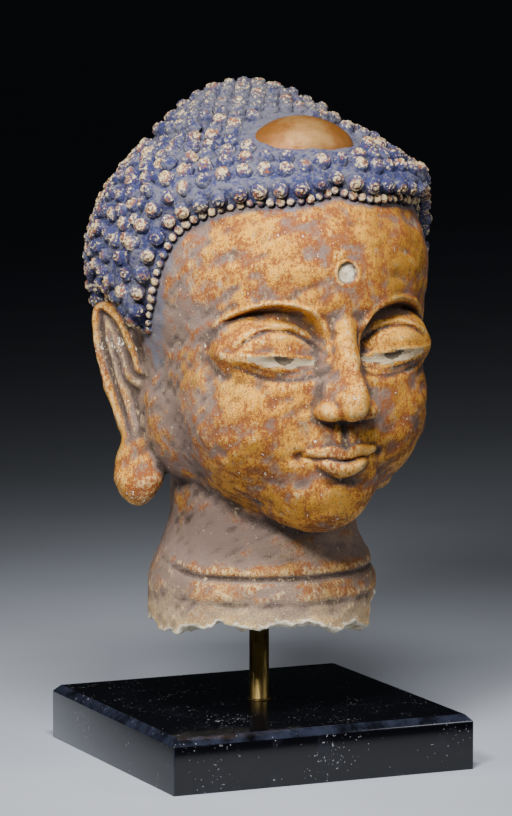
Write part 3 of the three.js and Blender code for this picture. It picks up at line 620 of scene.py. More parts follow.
def outermost(form, directions, reach=14.0):
    """Outermost places of a form seen from the star point along each direction."""
    outside = np.full(len(directions), reach)
    going = np.ones(len(directions), bool)
    while going.any():
        inner = outside[going] - 0.1
        clear = form(STAR + directions[going] * inner[:, None]) > 0
        outside[going] = np.where(clear, inner, outside[going])
        going[np.flatnonzero(going)[~clear | (inner < 0.2)]] = False
    low, high = outside - 0.1, outside
    for _ in range(HALVINGS):
        middle = (low + high) / 2
        clear = form(STAR + directions * middle[:, None]) > 0
        high = np.where(clear, middle, high)
        low = np.where(clear, low, middle)
    return STAR + directions * low[:, None]


def raised_over(vertices, quads, normals, cell, width):
    """How far each vertex stands out from the surface averaged over a width, less the roundness."""
    edges = np.concatenate([quads[:, [i, (i + 1) % 4]] for i in range(4)])
    pairs = np.concatenate([edges, edges[:, ::-1]])
    count = np.maximum(np.bincount(pairs[:, 0], minlength=len(vertices)), 1)
    smooth = vertices.copy()
    for _ in range(max(round((width / cell) ** 2), 1)):
        smooth = np.stack([np.bincount(pairs[:, 0], smooth[pairs[:, 1], i], len(vertices)) / count
                           for i in range(3)], 1)
    return ((vertices - smooth) * normals).sum(1) - width ** 2 / 10


# Pieces and their finishes

def settings():
    return bpy.context.scene.stucco_head


def module_length():
    return settings().face_height / 12


def placed(vertices):
    """Metres in the shared frame from modules about the chin."""
    turn = settings().turn
    spin = np.array([[math.cos(turn), math.sin(turn), 0], [-math.sin(turn), math.cos(turn), 0], [0, 0, 1]])
    return vertices * module_length() @ spin + (0, 0, settings().chin_height)


def add_piece(name, vertices, faces, attributes=None, smooth=True):
    mesh = bpy.data.meshes.new(name)
    if isinstance(faces, np.ndarray):
        faces = faces.tolist()
    mesh.from_pydata(np.asarray(vertices).tolist(), [], faces)
    mesh.validate()
    for key, values in (attributes or {}).items():
        values = np.asarray(values, np.float32)
        kind, field = ("FLOAT_VECTOR", "vector") if values.ndim == 2 else ("FLOAT", "value")
        mesh.attributes.new(key, kind, "POINT").data.foreach_set(field, values.ravel())
    if smooth:
        mesh.shade_smooth()
    else:
        mesh.shade_flat()
    piece = bpy.data.objects.new(name, mesh)
    bpy.context.collection.objects.link(piece)
    return piece


def evaluated_mesh(piece):
    """A plain mesh of a piece as its modifiers leave it."""
    bpy.context.view_layer.update()
    return bpy.data.meshes.new_from_object(piece.evaluated_get(bpy.context.evaluated_depsgraph_get()))


def rings_of(profile, sides, centre=(0, 0)):
    """Rings of vertices from a profile of radius and height, the faces between them and the bottom."""
    vertices = []
    faces = []
    for ring, (radius, height) in enumerate(profile):
        base = (ring - 1) * sides
        for side in range(sides):
            angle = 2 * math.pi * side / sides
            x = centre[0] + radius * math.cos(angle)
            y = centre[1] + radius * math.sin(angle)
            vertices.append((x, y, height))
            after = (side + 1) % sides
            if ring > 0:
                faces.append([base + side, base + after, base + sides + after, base + sides + side])
    faces.append(list(range(sides))[::-1])
    return vertices, faces


def finish_piece(piece, finish, slot, *nodes):
    piece.data.materials.clear()
    piece.data.materials.append(finish)
    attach(piece, BODY)
    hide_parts(*nodes)


def add(tree, kind, inputs=None, **choices):
    """Add a node with its choices, and its inputs as values or as the sockets that feed them."""
    node = tree.nodes.new(kind)
    for name, value in choices.items():
        setattr(node, name, value)
    feed(tree, node, inputs or {})
    return node


def feed(tree, node, inputs):
    """Set a node's inputs to values, or link them to the sockets that feed them."""
    for key, value in inputs.items():
        if isinstance(value, bpy.types.NodeSocket):
            tree.links.new(value, node.inputs[key])
        else:
            node.inputs[key].default_value = value


def new_finish(name):
    """An empty material with its tree, its surface shader and the place on the object."""
    finish = bpy.data.materials.new(name)
    finish.use_nodes = True
    tree = finish.node_tree
    tree.nodes.clear()
    place = add(tree, "ShaderNodeTexCoord").outputs["Object"]
    shader = add(tree, "ShaderNodeBsdfPrincipled")
    add(tree, "ShaderNodeOutputMaterial", {"Surface": shader.outputs[0]})
    return finish, tree, place, shader


def patterns(tree, place, *sizes):
    """Noise patterns about zero, each from a size in metres, its detail and, if it has one, its stretch."""
    found = []
    for size, detail, *stretch in sizes:
        spot = add(tree, "ShaderNodeMapping", {"Vector": place, "Scale": stretch or (1, 1, 1)}).outputs[0]
        noise = add(tree, "ShaderNodeTexNoise", {"Vector": spot, "Scale": 1 / size, "Detail": detail,
                                                 "Roughness": 0.6}, normalize=False)
        found.append(noise.outputs[0])
    return found


def weighted(tree, parts, total=0.0):
    """Add patterns, each times its weight, to a value or a socket."""
    for source, weight in parts:
        total = add(tree, "ShaderNodeMath", {0: source, 1: weight, 2: total},
                    operation="MULTIPLY_ADD").outputs[0]
    return total


def layered(tree, base, *layers):
    """Cover a colour with others, each where the weighted sum of its patterns passes a threshold."""
    base = (*base, 1.0)
    masks = {}
    for name, hue, low, high, amount, parts in layers:
        mask = add(tree, "ShaderNodeMapRange", {
            "Value": weighted(tree, parts), "From Min": low, "From Max": high, "To Max": amount,
        }, interpolation_type="SMOOTHSTEP").outputs[0]
        base = add(tree, "ShaderNodeMix", {0: mask, 6: base, 7: (*hue, 1.0)}, data_type="RGBA").outputs[2]
        masks[name] = mask
    return base, masks


def bumped(tree, height, depth, strength):
    return add(tree, "ShaderNodeBump", {"Height": height, "Distance": depth, "Strength": strength}).outputs[0]


def read(tree, *names):
    return [add(tree, "ShaderNodeAttribute", attribute_name=name).outputs["Fac"] for name in names]


# Places of the curls and beads: the head's mean radius, and the room that a curl keeps to the next
# one, as a share of the pitch, and to the dome, all in modules

MEAN_RADIUS = 6.6
MERIDIAN_STEPS = 48
MOST_ROWS = 30
CURL_ROOM = 0.8
DOME_ROOM = 0.42


def hair_meridians(form, side):
    """Lines over one half of the hair from the hairline to the crown, from the front to the back."""
    azimuths = side * np.radians(np.arange(0, 181, 2))

    def aims(elevations):
        level = np.cos(elevations)
        return np.stack([np.sin(azimuths) * level, -np.cos(azimuths) * level, np.sin(elevations)], 1)

    low = np.full(len(azimuths), math.radians(-60))
    high = np.full(len(azimuths), math.radians(88))
    for _ in range(HALVINGS):
        middle = (low + high) / 2
        under = over_hairline(outermost(form, aims(middle))) < 0
        low = np.where(under, middle, low)
        high = np.where(under, high, middle)
    climbs = [(math.pi / 2 - high) * i / MERIDIAN_STEPS for i in range(MERIDIAN_STEPS + 1)]
    lines = np.stack([outermost(form, aims(high + climb)) for climb in climbs], 1)
    strides = np.linalg.norm(np.diff(lines, axis=1), axis=2)
    lengths = np.concatenate([np.zeros((len(lines), 1)), np.cumsum(strides, 1)], 1)
    straight = np.linalg.norm(lines[:, :, None] - lines[None, None, :, 0], axis=3).min(2)
    from_edge = 2 * MEAN_RADIUS * np.arcsin(np.minimum(straight / (2 * MEAN_RADIUS), 1))
    return lines, lengths, from_edge


def place_at(line, measure, value):
    """Place on a line where its running measure first passes a value, or None."""
    passed = np.flatnonzero(measure[1:] >= value)
    if len(passed) == 0:
        return None
    i = passed[0]
    share = np.clip((value - measure[i]) / (measure[i + 1] - measure[i]), 0, 1)
    return line[i] + share * (line[i + 1] - line[i])


def curl_spots(hair, module, halves):
    """Middles of the curls: rows at equal distances from the hairline, rings about the crown."""
    spots = [halves[0][0][0][-1]]
    heights = [hair.crown_height / module]

    def try_place(place, height, room):
        gaps = np.linalg.norm(np.array(spots) - place, axis=1)
        if gaps.min() > room and ellipsoid(place[None], DOME_CENTRE, DOME_RADII)[0] > DOME_ROOM:
            spots.append(place)
            heights.append(height)

    def walk(places, pitch, shift, height):
        walked = 0.0
        wanted = shift * pitch
        before = None
        for place in places:
            if place is not None and before is not None:
                stride = np.linalg.norm(place - before)
                while walked + stride >= wanted:
                    spot = before + (place - before) * (wanted - walked) / max(stride, 1e-6)
                    try_place(spot, height, pitch * CURL_ROOM)
                    wanted += pitch
                walked += stride
            before = place

    pitch = hair.crown_pitch / module
    for ring in range(1, hair.crown_rings + 1):
        share = (ring - 1) / hair.crown_rings
        height = (hair.crown_height + (hair.curl_height - hair.crown_height) * share) / module
        for lines, runs, _ in halves:
            places = [place_at(line, run, run[-1] - ring * pitch) for line, run in zip(lines, runs)]
            walk(places, pitch, (ring % 2) / 2, height)
    for row in range(MOST_ROWS):
        wanted = (hair.first_row + row * hair.row_pitch) / module
        for lines, _, from_edge in halves:
            places = [place_at(line, edge, wanted) for line, edge in zip(lines, from_edge)]
            walk(places, hair.curl_pitch / module, (row % 2) / 2, hair.curl_height / module)
    return np.array(spots), np.array(heights)


def bead_spots(hair, module, halves):
    """Middles of the hairline's beads, evenly spaced along both halves."""
    spots = []
    # The second half leaves out both ends, which the first half has set.
    for ends, (lines, lengths, _) in enumerate(halves):
        ridge = np.array([place_at(line, run, 0.1) for line, run in zip(lines, lengths)])
        runs = np.concatenate([[0], np.cumsum(np.linalg.norm(np.diff(ridge, axis=0), axis=1))])
        count = round(runs[-1] * module / hair.bead_pitch)
        wanted = np.arange(ends, count + 1 - ends) / count * runs[-1]
        spots.append(np.stack([np.interp(wanted, runs, ridge[:, i]) for i in range(3)], 1))
    return np.concatenate(spots)


def curl_shape(sides=10, turns=2.0):
    """A snail-shell button of width 1 and height 1: its crest winds in to the tip."""
    vertices = []
    marks = []
    known = {}

    def vertex(key, reach, side, height, tip, groove):
        if key not in known:
            angle = 2 * math.pi * side / sides
            known[key] = len(vertices)
            vertices.append((reach / 2 * math.cos(angle), reach / 2 * math.sin(angle), height))
            marks.append((tip, groove))
        return known[key]

    def on_shell(row, side):
        if side == sides:
            row -= 2
            side = 0
        reach = 1 - (row / 2 - side / sides) / turns
        if row < 1 or reach >= 0.97:
            return vertex(("foot", side), 1, side, 0.0, 0.0, 0.0)
        if reach <= 0.06:
            return vertex("tip", 0, 0, 1.0, 1.0, 0.0)
        # A rounded button whose crest stands out over the groove between its turns
        swell = (1 - (reach * 0.95) ** 2.6) ** 0.55
        crest = row % 2
        height = swell * 0.92 + (0.07 if crest else -0.17)
        return vertex((row, side), reach * (1.04 if crest else 0.97), side, height, swell, 1.0 - crest)

    faces = []
    for row in range(-1, int(2 * turns + 2)):
        for side in range(sides):
            corners = [on_shell(row, side), on_shell(row, side + 1), on_shell(row + 1, side + 1),
                       on_shell(row + 1, side)]
            corners = [c for i, c in enumerate(corners) if c != corners[i - 1]]
            if len(set(corners)) > 2:
                faces.append(corners)
    sunk = [vertex(("sunk", side), 1.02, side, -0.3, 0.0, 0.0) for side in range(sides)]
    foot = [known[("foot", side)] for side in range(sides)]
    for side in range(sides):
        after = (side + 1) % sides
        faces.append([sunk[side], sunk[after], foot[after], foot[side]])
    faces.append(sunk[::-1])
    marks = np.array(marks)
    return np.array(vertices), faces, {"tip": marks[:, 0], "groove": marks[:, 1]}


def bead_shape(sides=8):
    """A rounded pellet of width 1 and height 1 whose foot is sunk."""
    rings = ((0.48, -0.3), (0.5, 0.1), (0.44, 0.62), (0.25, 0.92))
    vertices, faces = rings_of(rings, sides)
    tip = len(vertices)
    vertices.append((0, 0, 1))
    last = tip - sides
    for side in range(sides):
        faces.append([last + side, last + (side + 1) % sides, tip])
    tips = np.array([max(v[2], 0) for v in vertices])
    return np.array(vertices), faces, {"tip": tips, "groove": tips * 0}


def set_out(name, points, facing, marks, shape, sizes, finish, seed):
    """Stand a shape on each point by a node tree, looking outwards, and keep the plain mesh."""
    pattern = add_piece(name + "_shape", *shape)
    carrier = add_piece(name + "_points", points, [], {"facing": facing, **marks})

    tree = bpy.data.node_groups.new(name + "_set_out", "GeometryNodeTree")
    tree.interface.new_socket("Points", in_out="INPUT", socket_type="NodeSocketGeometry")
    kinds = {"Shape": "Object", "Width": "Float", "Spread": "Float", "Lean": "Float", "Seed": "Int",
             "Finish": "Material"}
    sockets = {}
    for label, kind in kinds.items():
        socket = tree.interface.new_socket(label, in_out="INPUT", socket_type="NodeSocket" + kind)
        sockets[label] = socket.identifier
    tree.interface.new_socket("Pieces", in_out="OUTPUT", socket_type="NodeSocketGeometry")
    given = add(tree, "NodeGroupInput").outputs
    facing_in, stand_in = [
        add(tree, "GeometryNodeInputNamedAttribute", {"Name": label}, data_type=kind).outputs["Attribute"]
        for label, kind in (("facing", "FLOAT_VECTOR"), ("stand", "FLOAT"))]
    turned = add(tree, "FunctionNodeAlignRotationToVector", {"Vector": facing_in}, axis="Z").outputs[0]
    lean_back, less, more = [
        add(tree, "ShaderNodeMath", {0: first, 1: second}, operation=operation).outputs[0]
        for operation, first, second in (("MULTIPLY", given["Lean"], -1.0),
                                         ("SUBTRACT", 1.0, given["Spread"]), ("ADD", 1.0, given["Spread"]))]
    lean, spin, change = [
        add(tree, "FunctionNodeRandomValue", {2: low, 3: high, "Seed": given["Seed"]},
            data_type="FLOAT").outputs[1]
        for low, high in ((lean_back, given["Lean"]), (0.0, 2 * math.pi), (less, more))]
    angles = add(tree, "ShaderNodeCombineXYZ", {0: lean, 1: 0.0, 2: spin}).outputs[0]
    local = add(tree, "FunctionNodeEulerToRotation", {0: angles}).outputs[0]
    turned = add(tree, "FunctionNodeRotateRotation", {0: turned, 1: local}, rotation_space="LOCAL").outputs[0]
    across = add(tree, "ShaderNodeMath", {0: given["Width"], 1: change}, operation="MULTIPLY").outputs[0]
    scale = add(tree, "ShaderNodeCombineXYZ", {0: across, 1: across, 2: stand_in}).outputs[0]
    shape_in = add(tree, "GeometryNodeObjectInfo", {"Object": given["Shape"]}).outputs["Geometry"]
    stood = add(tree, "GeometryNodeInstanceOnPoints", {"Points": given["Points"], "Instance": shape_in,
                                                       "Rotation": turned, "Scale": scale}).outputs[0]
    plain = add(tree, "GeometryNodeRealizeInstances", {"Geometry": stood}).outputs[0]
    done = add(tree, "GeometryNodeSetMaterial", {"Geometry": plain, "Material": given["Finish"]}).outputs[0]
    add(tree, "NodeGroupOutput", {0: done})

    modifier = carrier.modifiers.new("Set out", "NODES")
    modifier.node_group = tree
    values = {"Shape": pattern, "Width": sizes[0], "Spread": sizes[1], "Lean": sizes[2], "Seed": seed,
              "Finish": finish}
    for label, value in values.items():
        modifier[sockets[label]] = value
    mesh = evaluated_mesh(carrier)
    mesh.name = name
    if len(mesh.polygons) < len(points) * len(shape[1]):
        raise RuntimeError(f"{name}: the node tree gave {len(mesh.polygons)} faces")
    piece = bpy.data.objects.new(name, mesh)
    bpy.context.collection.objects.link(piece)
    for spare in (carrier, pattern):
        bpy.data.objects.remove(spare)
    return piece


# Finishes

def worn_gilding(skin_set):
    """Gilded stucco: leaf laid on red-brown clay bole and rubbed down to the grey-mauve ground.

    The leaf gives warm satin gold, its thin places show the clay, and the hollows are darkened with grime and
    with painted shade.
    """
    finish, tree, place, shader = new_finish("Worn gilding over bole on stucco")
    raised, swelling, gilt, band, plaster, hollow_ear, eye, iris, worn, chipped = read(
        tree, "raised", "swelling", "gilt", "band", "plaster", "hollow_ear", "eye", "iris", "worn", "chipped")
    grit, grain, speck, blotch, patch = patterns(
        tree, place, (0.0010, 3), (0.0022, 4, 1, 1, 0.22), (0.0026, 3, 1, 1, 0.75), (0.0085, 5, 1, 1, 0.7),
        (0.034, 4, 1, 1, 0.8))
    colour_out, masks = layered(
        tree, skin_set.old_gold,
        ("leaf", skin_set.gold, 0.1, 0.95, 0.95,
         [(blotch, 0.4), (patch, 0.75), (speck, 0.7), (grit, 0.6), (grain, 0.3), (gilt, 0.5), (raised, 0.3)]),
        ("clay", skin_set.bole, 0.0, 1.1, 0.8,
         [(blotch, -0.6), (grain, 0.7), (grit, 0.4), (raised, -0.35), (hollow_ear, -0.4)]),
        ("bare", skin_set.ground, -0.5, 0.35, 0.85,
         [(patch, -0.7), (blotch, 0.45), (speck, 0.35), (grit, 0.35), (gilt, -0.62), (hollow_ear, 0.6),
          (swelling, -0.5), (raised, -0.4)]),
        ("rubbed", skin_set.rubbed, 0.45, 1.25, 0.8,
         [(raised, 0.75), (grain, 0.3), (speck, 0.4), (blotch, 0.25), (worn, 0.2)]),
        ("wash", skin_set.rubbed, -0.1, 1.5, 0.62,
         [(worn, 0.9), (patch, 0.4), (speck, 0.3), (grit, 0.3), (raised, 0.2)]),
        # Darker in the creases and hollows, where the surface curves in: partly grime, partly painted shade.
        ("dirt_and_shade", skin_set.soot_and_shade, 0.6, 1.35, 0.8,
         [(raised, -1.0), (swelling, -0.2), (grit, 0.3), (blotch, 0.2)]),
        ("specks", skin_set.soot_and_shade, 0.6, 0.85, 0.6, [(speck, 1.0), (patch, 0.3)]),
        ("chips", skin_set.plaster, 0.8, 0.95, 0.85, [(speck, -0.8), (blotch, -0.5), (chipped, 0.5)]),
        ("paint", skin_set.band, 0.3, 0.9, 0.85, [(band, 1.0), (blotch, 0.4), (grit, 0.25), (speck, 0.2)]),
        ("break", skin_set.plaster, 0.35, 0.75, 1.0, [(plaster, 1.0), (speck, 0.12)]),
        ("crumb", skin_set.crumb, 0.5, 0.95, 0.75,
         [(plaster, 0.6), (blotch, 0.5), (speck, 0.5), (raised, -0.3)]),
        ("white", skin_set.eye_white, 0.3, 0.7, 0.85, [(eye, 1.0), (grit, 0.15)]),
        ("iris", skin_set.soot_and_shade, 0.4, 0.7, 0.8, [(iris, 1.0), (grit, 0.1)]))
    # The leaf is metal where neither bare ground nor the break takes its place.
    kept, unbroken = [
        add(tree, "ShaderNodeMath", {0: 1.0, 1: masks[name]}, operation="SUBTRACT").outputs[0]
        for name in ("bare", "break")]
    metal = masks["leaf"]
    for share in (kept, unbroken, 0.8):
        metal = add(tree, "ShaderNodeMath", {0: metal, 1: share}, operation="MULTIPLY").outputs[0]
    relief = weighted(tree, [(grain, 0.35), (blotch, 0.7)], grit)
    feed(tree, shader, {
        "Base Color": colour_out, "Roughness": weighted(tree, [(masks["leaf"], -0.26), (grit, 0.08)], 0.68),
        "Metallic": metal, "Specular IOR Level": 0.25, "Normal": bumped(tree, relief, 0.0004, 0.7)})
    return finish


def blue_stucco(hair_set, name, worn, dusty):
    """Blue pigment on stucco: dusty in the hollows, rubbed to bare cream plaster on what stands out."""
    finish, tree, place, shader = new_finish(name)
    tip, groove, wear, settled = read(tree, "tip", "groove", "wear", "dusty")
    grit, speck, flake, patch = patterns(tree, place, (0.0010, 3), (0.0024, 3), (0.0052, 4), (0.028, 4))
    colour_out, masks = layered(
        tree, hair_set.pigment,
        ("thin", hair_set.pale_pigment, -0.2, 0.9, 0.85,
         [(patch, 0.7), (flake, 0.6), (speck, 0.5), (tip, 0.4)]),
        ("dust", hair_set.dust, dusty, dusty + 0.8, 0.85,
         [(flake, 0.7), (patch, 0.4), (speck, 0.5), (grit, 0.2), (tip, -0.3), (settled, 0.7)]),
        # Painted shade in the grooves of the curls and the deepest hollows.
        ("shade", hair_set.shade, 0.15, 0.8, 0.7, [(groove, 0.6), (flake, -0.5), (grit, 0.3), (tip, -0.15)]),
        ("rust", hair_set.rust, worn, worn + 0.5, 0.85,
         [(tip, 0.9), (groove, -0.3), (wear, 0.3), (flake, -0.4), (speck, -0.5)]),
        ("worn", hair_set.worn, worn + 0.05, worn + 0.4, 0.95,
         [(tip, 1.0), (groove, -0.55), (wear, 0.25), (flake, 0.4), (speck, 0.8), (grit, 0.3)]))
    relief = weighted(tree, [(flake, 1.4)], grit)
    feed(tree, shader, {"Base Color": colour_out, "Roughness": weighted(tree, [(masks["worn"], -0.16)], 0.82),
                        "Normal": bumped(tree, relief, 0.0005, 0.8)})
    return finish


def dome_gilding(hair_set):
    """Gilded plaster rubbed smooth: an even brown gold with a pale worn cap and fine scratches."""
    finish, tree, place, shader = new_finish("Rubbed gilding on smooth plaster")
    grit, scratch, blotch = patterns(tree, place, (0.0012, 3), (0.0016, 3, 0.12, 1, 1), (0.011, 5))
    cap, edge = read(tree, "cap", "edge")
    colour_out, _ = layered(
        tree, hair_set.dome,
        ("pale", hair_set.dome_cap, 0.35, 1.0, 0.8, [(cap, 1.0), (blotch, 0.35), (scratch, 0.1)]),
        ("clay", hair_set.dome_edge, 0.4, 1.0, 0.85, [(edge, 1.0), (blotch, 0.5), (grit, 0.2)]),
        ("marks", hair_set.rust, 0.55, 0.9, 0.6, [(scratch, 0.9), (grit, 0.3), (blotch, 0.2)]))
    relief = weighted(tree, [(scratch, 0.5)], grit)
    feed(tree, shader, {"Base Color": colour_out, "Roughness": 0.5, "Metallic": 0.4,
                        "Normal": bumped(tree, relief, 0.0002, 0.5)})
    return finish


def aged_brass(mount_set):
    """Drawn brass bar: smooth along its length, with brown tarnish in streaks and spots."""
    finish, tree, place, shader = new_finish("Aged drawn brass")
    drawn, stain = patterns(tree, place, (0.0012, 3, 1, 1, 0.05), (0.010, 4, 1, 1, 0.5))
    colour_out, masks = layered(
        tree, mount_set.brass,
        ("tarnish", mount_set.tarnish, -0.1, 0.9, 0.85, [(stain, 0.8), (drawn, 0.5)]))
    feed(tree, shader, {"Base Color": colour_out, "Roughness": weighted(tree, [(masks["tarnish"], 0.2)], 0.4),
                        "Metallic": 1.0, "Normal": bumped(tree, drawn, 0.0001, 0.4)})
    return finish


def black_lacquer(mount_set):
    """Polished black lacquer on wood: near-black gloss with scattered dust, and bluish edges painted as sheen
    with a little wear.
    """
    finish, tree, place, shader = new_finish("Polished black lacquer on wood")
    dust, drift, haze = patterns(tree, place, (0.0024, 2), (0.04, 3), (0.02, 4))
    edge, = read(tree, "edge")
    colour_out, masks = layered(
        tree, mount_set.lacquer,
        ("haze", mount_set.haze, 0.2, 1.3, 0.5, [(haze, 0.8), (drift, 0.4)]),
        # Bluish painted sheen on the chamfer and the rounded edges, with a little wear.
        ("edge", mount_set.edge_sheen_and_wear, 0.5, 1.3, 0.8, [(edge, 1.0), (haze, 0.5)]),
        ("dust", mount_set.dust, 0.8, 0.95, 0.6, [(dust, 1.0), (drift, 0.35)]))
    rough = weighted(tree, [(masks["dust"], 0.4), (masks["haze"], 0.2)], 0.09)
    feed(tree, shader, {"Base Color": colour_out, "Roughness": rough, "IOR": 1.52})
    return finish


def matt_floor(stage_set):
    """Matt painted board: plain, with the faintest unevenness."""
    finish, tree, place, shader = new_finish("Matt painted board")
    cloud, = patterns(tree, place, (0.4, 3))
    darker = tuple(0.92 * c for c in stage_set.floor)
    colour_out, _ = layered(tree, stage_set.floor, ("cloud", darker, -0.5, 1.0, 1.0, [(cloud, 1.0)]))
    feed(tree, shader, {"Base Color": colour_out, "Roughness": 0.9})
    return finish


# Operators, one for each piece or group of like pieces. First the boxes and cells of the meshes in
# modules, the share of change in width and the lean in radians, then the floor's corners in metres,
# across the view and towards the camera, and the picture's height in pixels and the sensor's in
# millimetres.

SKIN_SIDES = ((-7.3, -8.9), (7.3, 7.8, 13.2))
HAIR_BOX = ((-7.3, -8.2, 2.6), (7.3, 8.0, 16.2))
HAIR_CELL = 0.16
DOME_HALF_BOX = 2.4
DOME_CELL = 0.08
CURL_SPREAD = 0.08
CURL_LEAN = 0.12
BEAD_SPREAD = 0.18
BEAD_LEAN = 0.25
ROD_SIDES = 64
FLOOR_CORNERS = ((-10, 4), (10, 4), (10, -40), (-10, -40))
PICTURE_HEIGHT = 816
SENSOR = 36


def marks_on_skin(vertices, slope, quads, cell, neck_modules):
    """What the finish needs to know at each place of the skin."""
    q = vertices.copy()
    q[:, 0] = np.abs(q[:, 0])
    x, y, z = q.T
    normals = directions_of(slope)
    raised = np.tanh(raised_over(vertices, quads, normals, cell, 0.2) / 0.012)
    swelling = np.tanh(raised_over(vertices, quads, normals, cell, 0.6) / 0.07)

    # Painted band below the hairline
    under_line = -from_hairline(vertices)
    azimuth = azimuth_of(vertices)
    band_width = 0.4 + 0.9 * rise(44, 60, azimuth) * fall(85, 105, azimuth)
    band = fall(0.2, 1.0, under_line / band_width) * fall(64, 70, azimuth)

    # Gilding, which holds best on the front of the face and the ears, and in patches on the neck
    front = fall(3.4, 5.0, x + 0.35 * fall(5.0, 6.5, z)) * fall(-3.2, -1.0, y) * rise(-0.4, 0.9, z)
    side = rise(3.6, 4.6, x) * fall(4.6, 6.2, z) * fall(-1.0, 0.5, y)
    s, t, n = ear_plane(q)
    on_ear = (inside_outline(s, t, EAR_OUTLINE) & (n > -0.6) & (x > 4.2)).astype(float)
    from_rim, _, _ = nearest_on(EAR_RIM_LINE, s, t)
    hollow_ear = on_ear * rise(0.3, 0.5, from_rim) * rise(2.8, 3.6, t)
    gilt = np.maximum(front, on_ear * (0.62 - 0.6 * hollow_ear))
    gilt = gilt - 0.3 * side * (1 - on_ear) - 0.65 * fall(-0.8, 0.2, z)
    for spot, width in NECK_GILDING:
        gilt = gilt + bell(np.linalg.norm(vertices - spot, axis=1), width)

    # Bare plaster in the break, eyes, and the wear and chips of the neck and ears
    level = break_level(vertices, neck_modules)
    plaster = fall(0.02, 0.2, vertices[:, 2] - level)
    socket = fall(0.3, 0.42, np.hypot(x, z - BROW_SOCKET)) * (y < -4)
    upper_edge, lower_edge, _ = lid_levels(x)
    eye = (z < upper_edge + 0.02) * (z > lower_edge - 0.02) * fall(1.2, 1.4, np.abs(x - EYE[0])) * (y < -5)
    iris = eye * fall(0.36, 0.44, np.hypot(x - EYE[0] + 0.05, z - upper_edge - 0.12))
    worn = fall(-3.7, -1.6, z)
    chipped = on_ear * (fall(0.9, 1.5, z) + bell(z - 6.4, 0.35)) + fall(0.1, 0.5, vertices[:, 2] - level)
    return {"raised": raised, "swelling": swelling, "gilt": gilt, "band": band, "hollow_ear": hollow_ear,
            "plaster": np.maximum(plaster, 0.62 * socket), "eye": eye, "iris": iris, "worn": worn,
            "chipped": chipped}


class STUCCO_OT_head_skin(bpy.types.Operator):
    """Add the gilded face, ears and broken neck"""
    bl_idname = "stucco.head_skin"
    bl_label = "Head"

    def execute(self, context):
        skin_set = settings().skin
        module = module_length()
        cell = skin_set.cell / module * 1
        depth = skin_set.neck_length / module

        def form(p):
            return skin_form(p, skin_set, module)

        low, high = SKIN_SIDES
        vertices, quads = surface_of(form, (*low, -depth - 0.5), high, cell)
        marks = marks_on_skin(vertices, slope_of(form, vertices), quads, cell, depth)
        piece = add_piece("head_skin", placed(vertices), quads, marks)
        finish_piece(piece, worn_gilding(skin_set), "stucco", "head")
        return {"FINISHED"}


class STUCCO_OT_hair(bpy.types.Operator):
    """Add the hair's ground, its rows of curls and the beads of the hairline"""
    bl_idname = "stucco.hair"
    bl_label = "Hair"

    def execute(self, context):
        hair = settings().hair
        module = module_length()
        ground_finish = blue_stucco(hair, "Blue pigment on stucco, dusty", 2.0, -0.45)
        curl_finish = blue_stucco(hair, "Blue pigment on stucco, rubbed tips", 0.62, -0.35)

        def ground(p):
            return ground_form(p, hair, module)

        def mass(p):
            return hair_mass(p, hair, module)

        def outwards(spots):
            return (placed(spots + directions_of(slope_of(mass, spots))) - placed(spots)) / module

        vertices, quads = surface_of(ground, *HAIR_BOX, HAIR_CELL)
        piece = add_piece("hair_ground", placed(vertices), quads, {"dusty": rise(12.5, 15.5, vertices[:, 2])})
        finish_piece(piece, ground_finish, "stucco", "head")

        halves = [hair_meridians(mass, 1), hair_meridians(mass, -1)]
        spots, heights = curl_spots(hair, module, halves)
        random = np.random.default_rng(hair.seed)
        stand = heights * module * random.uniform(0.9, 1.1, len(spots))
        high = rise(12.8, 15.0, spots[:, 2])
        marks = {"stand": stand, "wear": random.uniform(-1, 1, len(spots)) - 0.8 * high, "dusty": high}
        piece = set_out("hair_curls", placed(spots), outwards(spots), marks, curl_shape(),
                        (hair.curl_width, CURL_SPREAD, CURL_LEAN), curl_finish, hair.seed)
        finish_piece(piece, curl_finish, "stucco", "head")

        spots = settle(mass, bead_spots(hair, module, halves))
        marks = {"stand": hair.bead_height * random.uniform(0.7, 1.25, len(spots)),
                 "wear": random.uniform(-0.6, 1, len(spots)), "dusty": spots[:, 0] * 0 + 0.5}
        piece = set_out("hairline_beads", placed(spots), outwards(spots), marks, bead_shape(),
                        (hair.bead_width, BEAD_SPREAD, BEAD_LEAN), curl_finish, hair.seed + 1)
        finish_piece(piece, curl_finish, "stucco", "head")
        return {"FINISHED"}


class STUCCO_OT_dome(bpy.types.Operator):
    """Add the smooth jewel dome over the forehead"""
    bl_idname = "stucco.dome"
    bl_label = "Jewel dome"

    def execute(self, context):
        low = np.array(DOME_CENTRE) - DOME_HALF_BOX
        vertices, quads = surface_of(dome_form, low, low + 2 * DOME_HALF_BOX, DOME_CELL)
        off = (vertices - DOME_CENTRE) / DOME_RADII
        marks = {"cap": fall(0.2, 0.8, np.hypot(off[:, 0] + 0.1, off[:, 2] - 0.55)) * (off[:, 1] < 0.2),
                 "edge": rise(0.55, 1.0, -off[:, 0] * 0.7 - off[:, 2] * 0.7)}
        piece = add_piece("jewel_dome", placed(vertices), quads, marks)
        finish_piece(piece, dome_gilding(settings().hair), "stucco", "head")
        return {"FINISHED"}


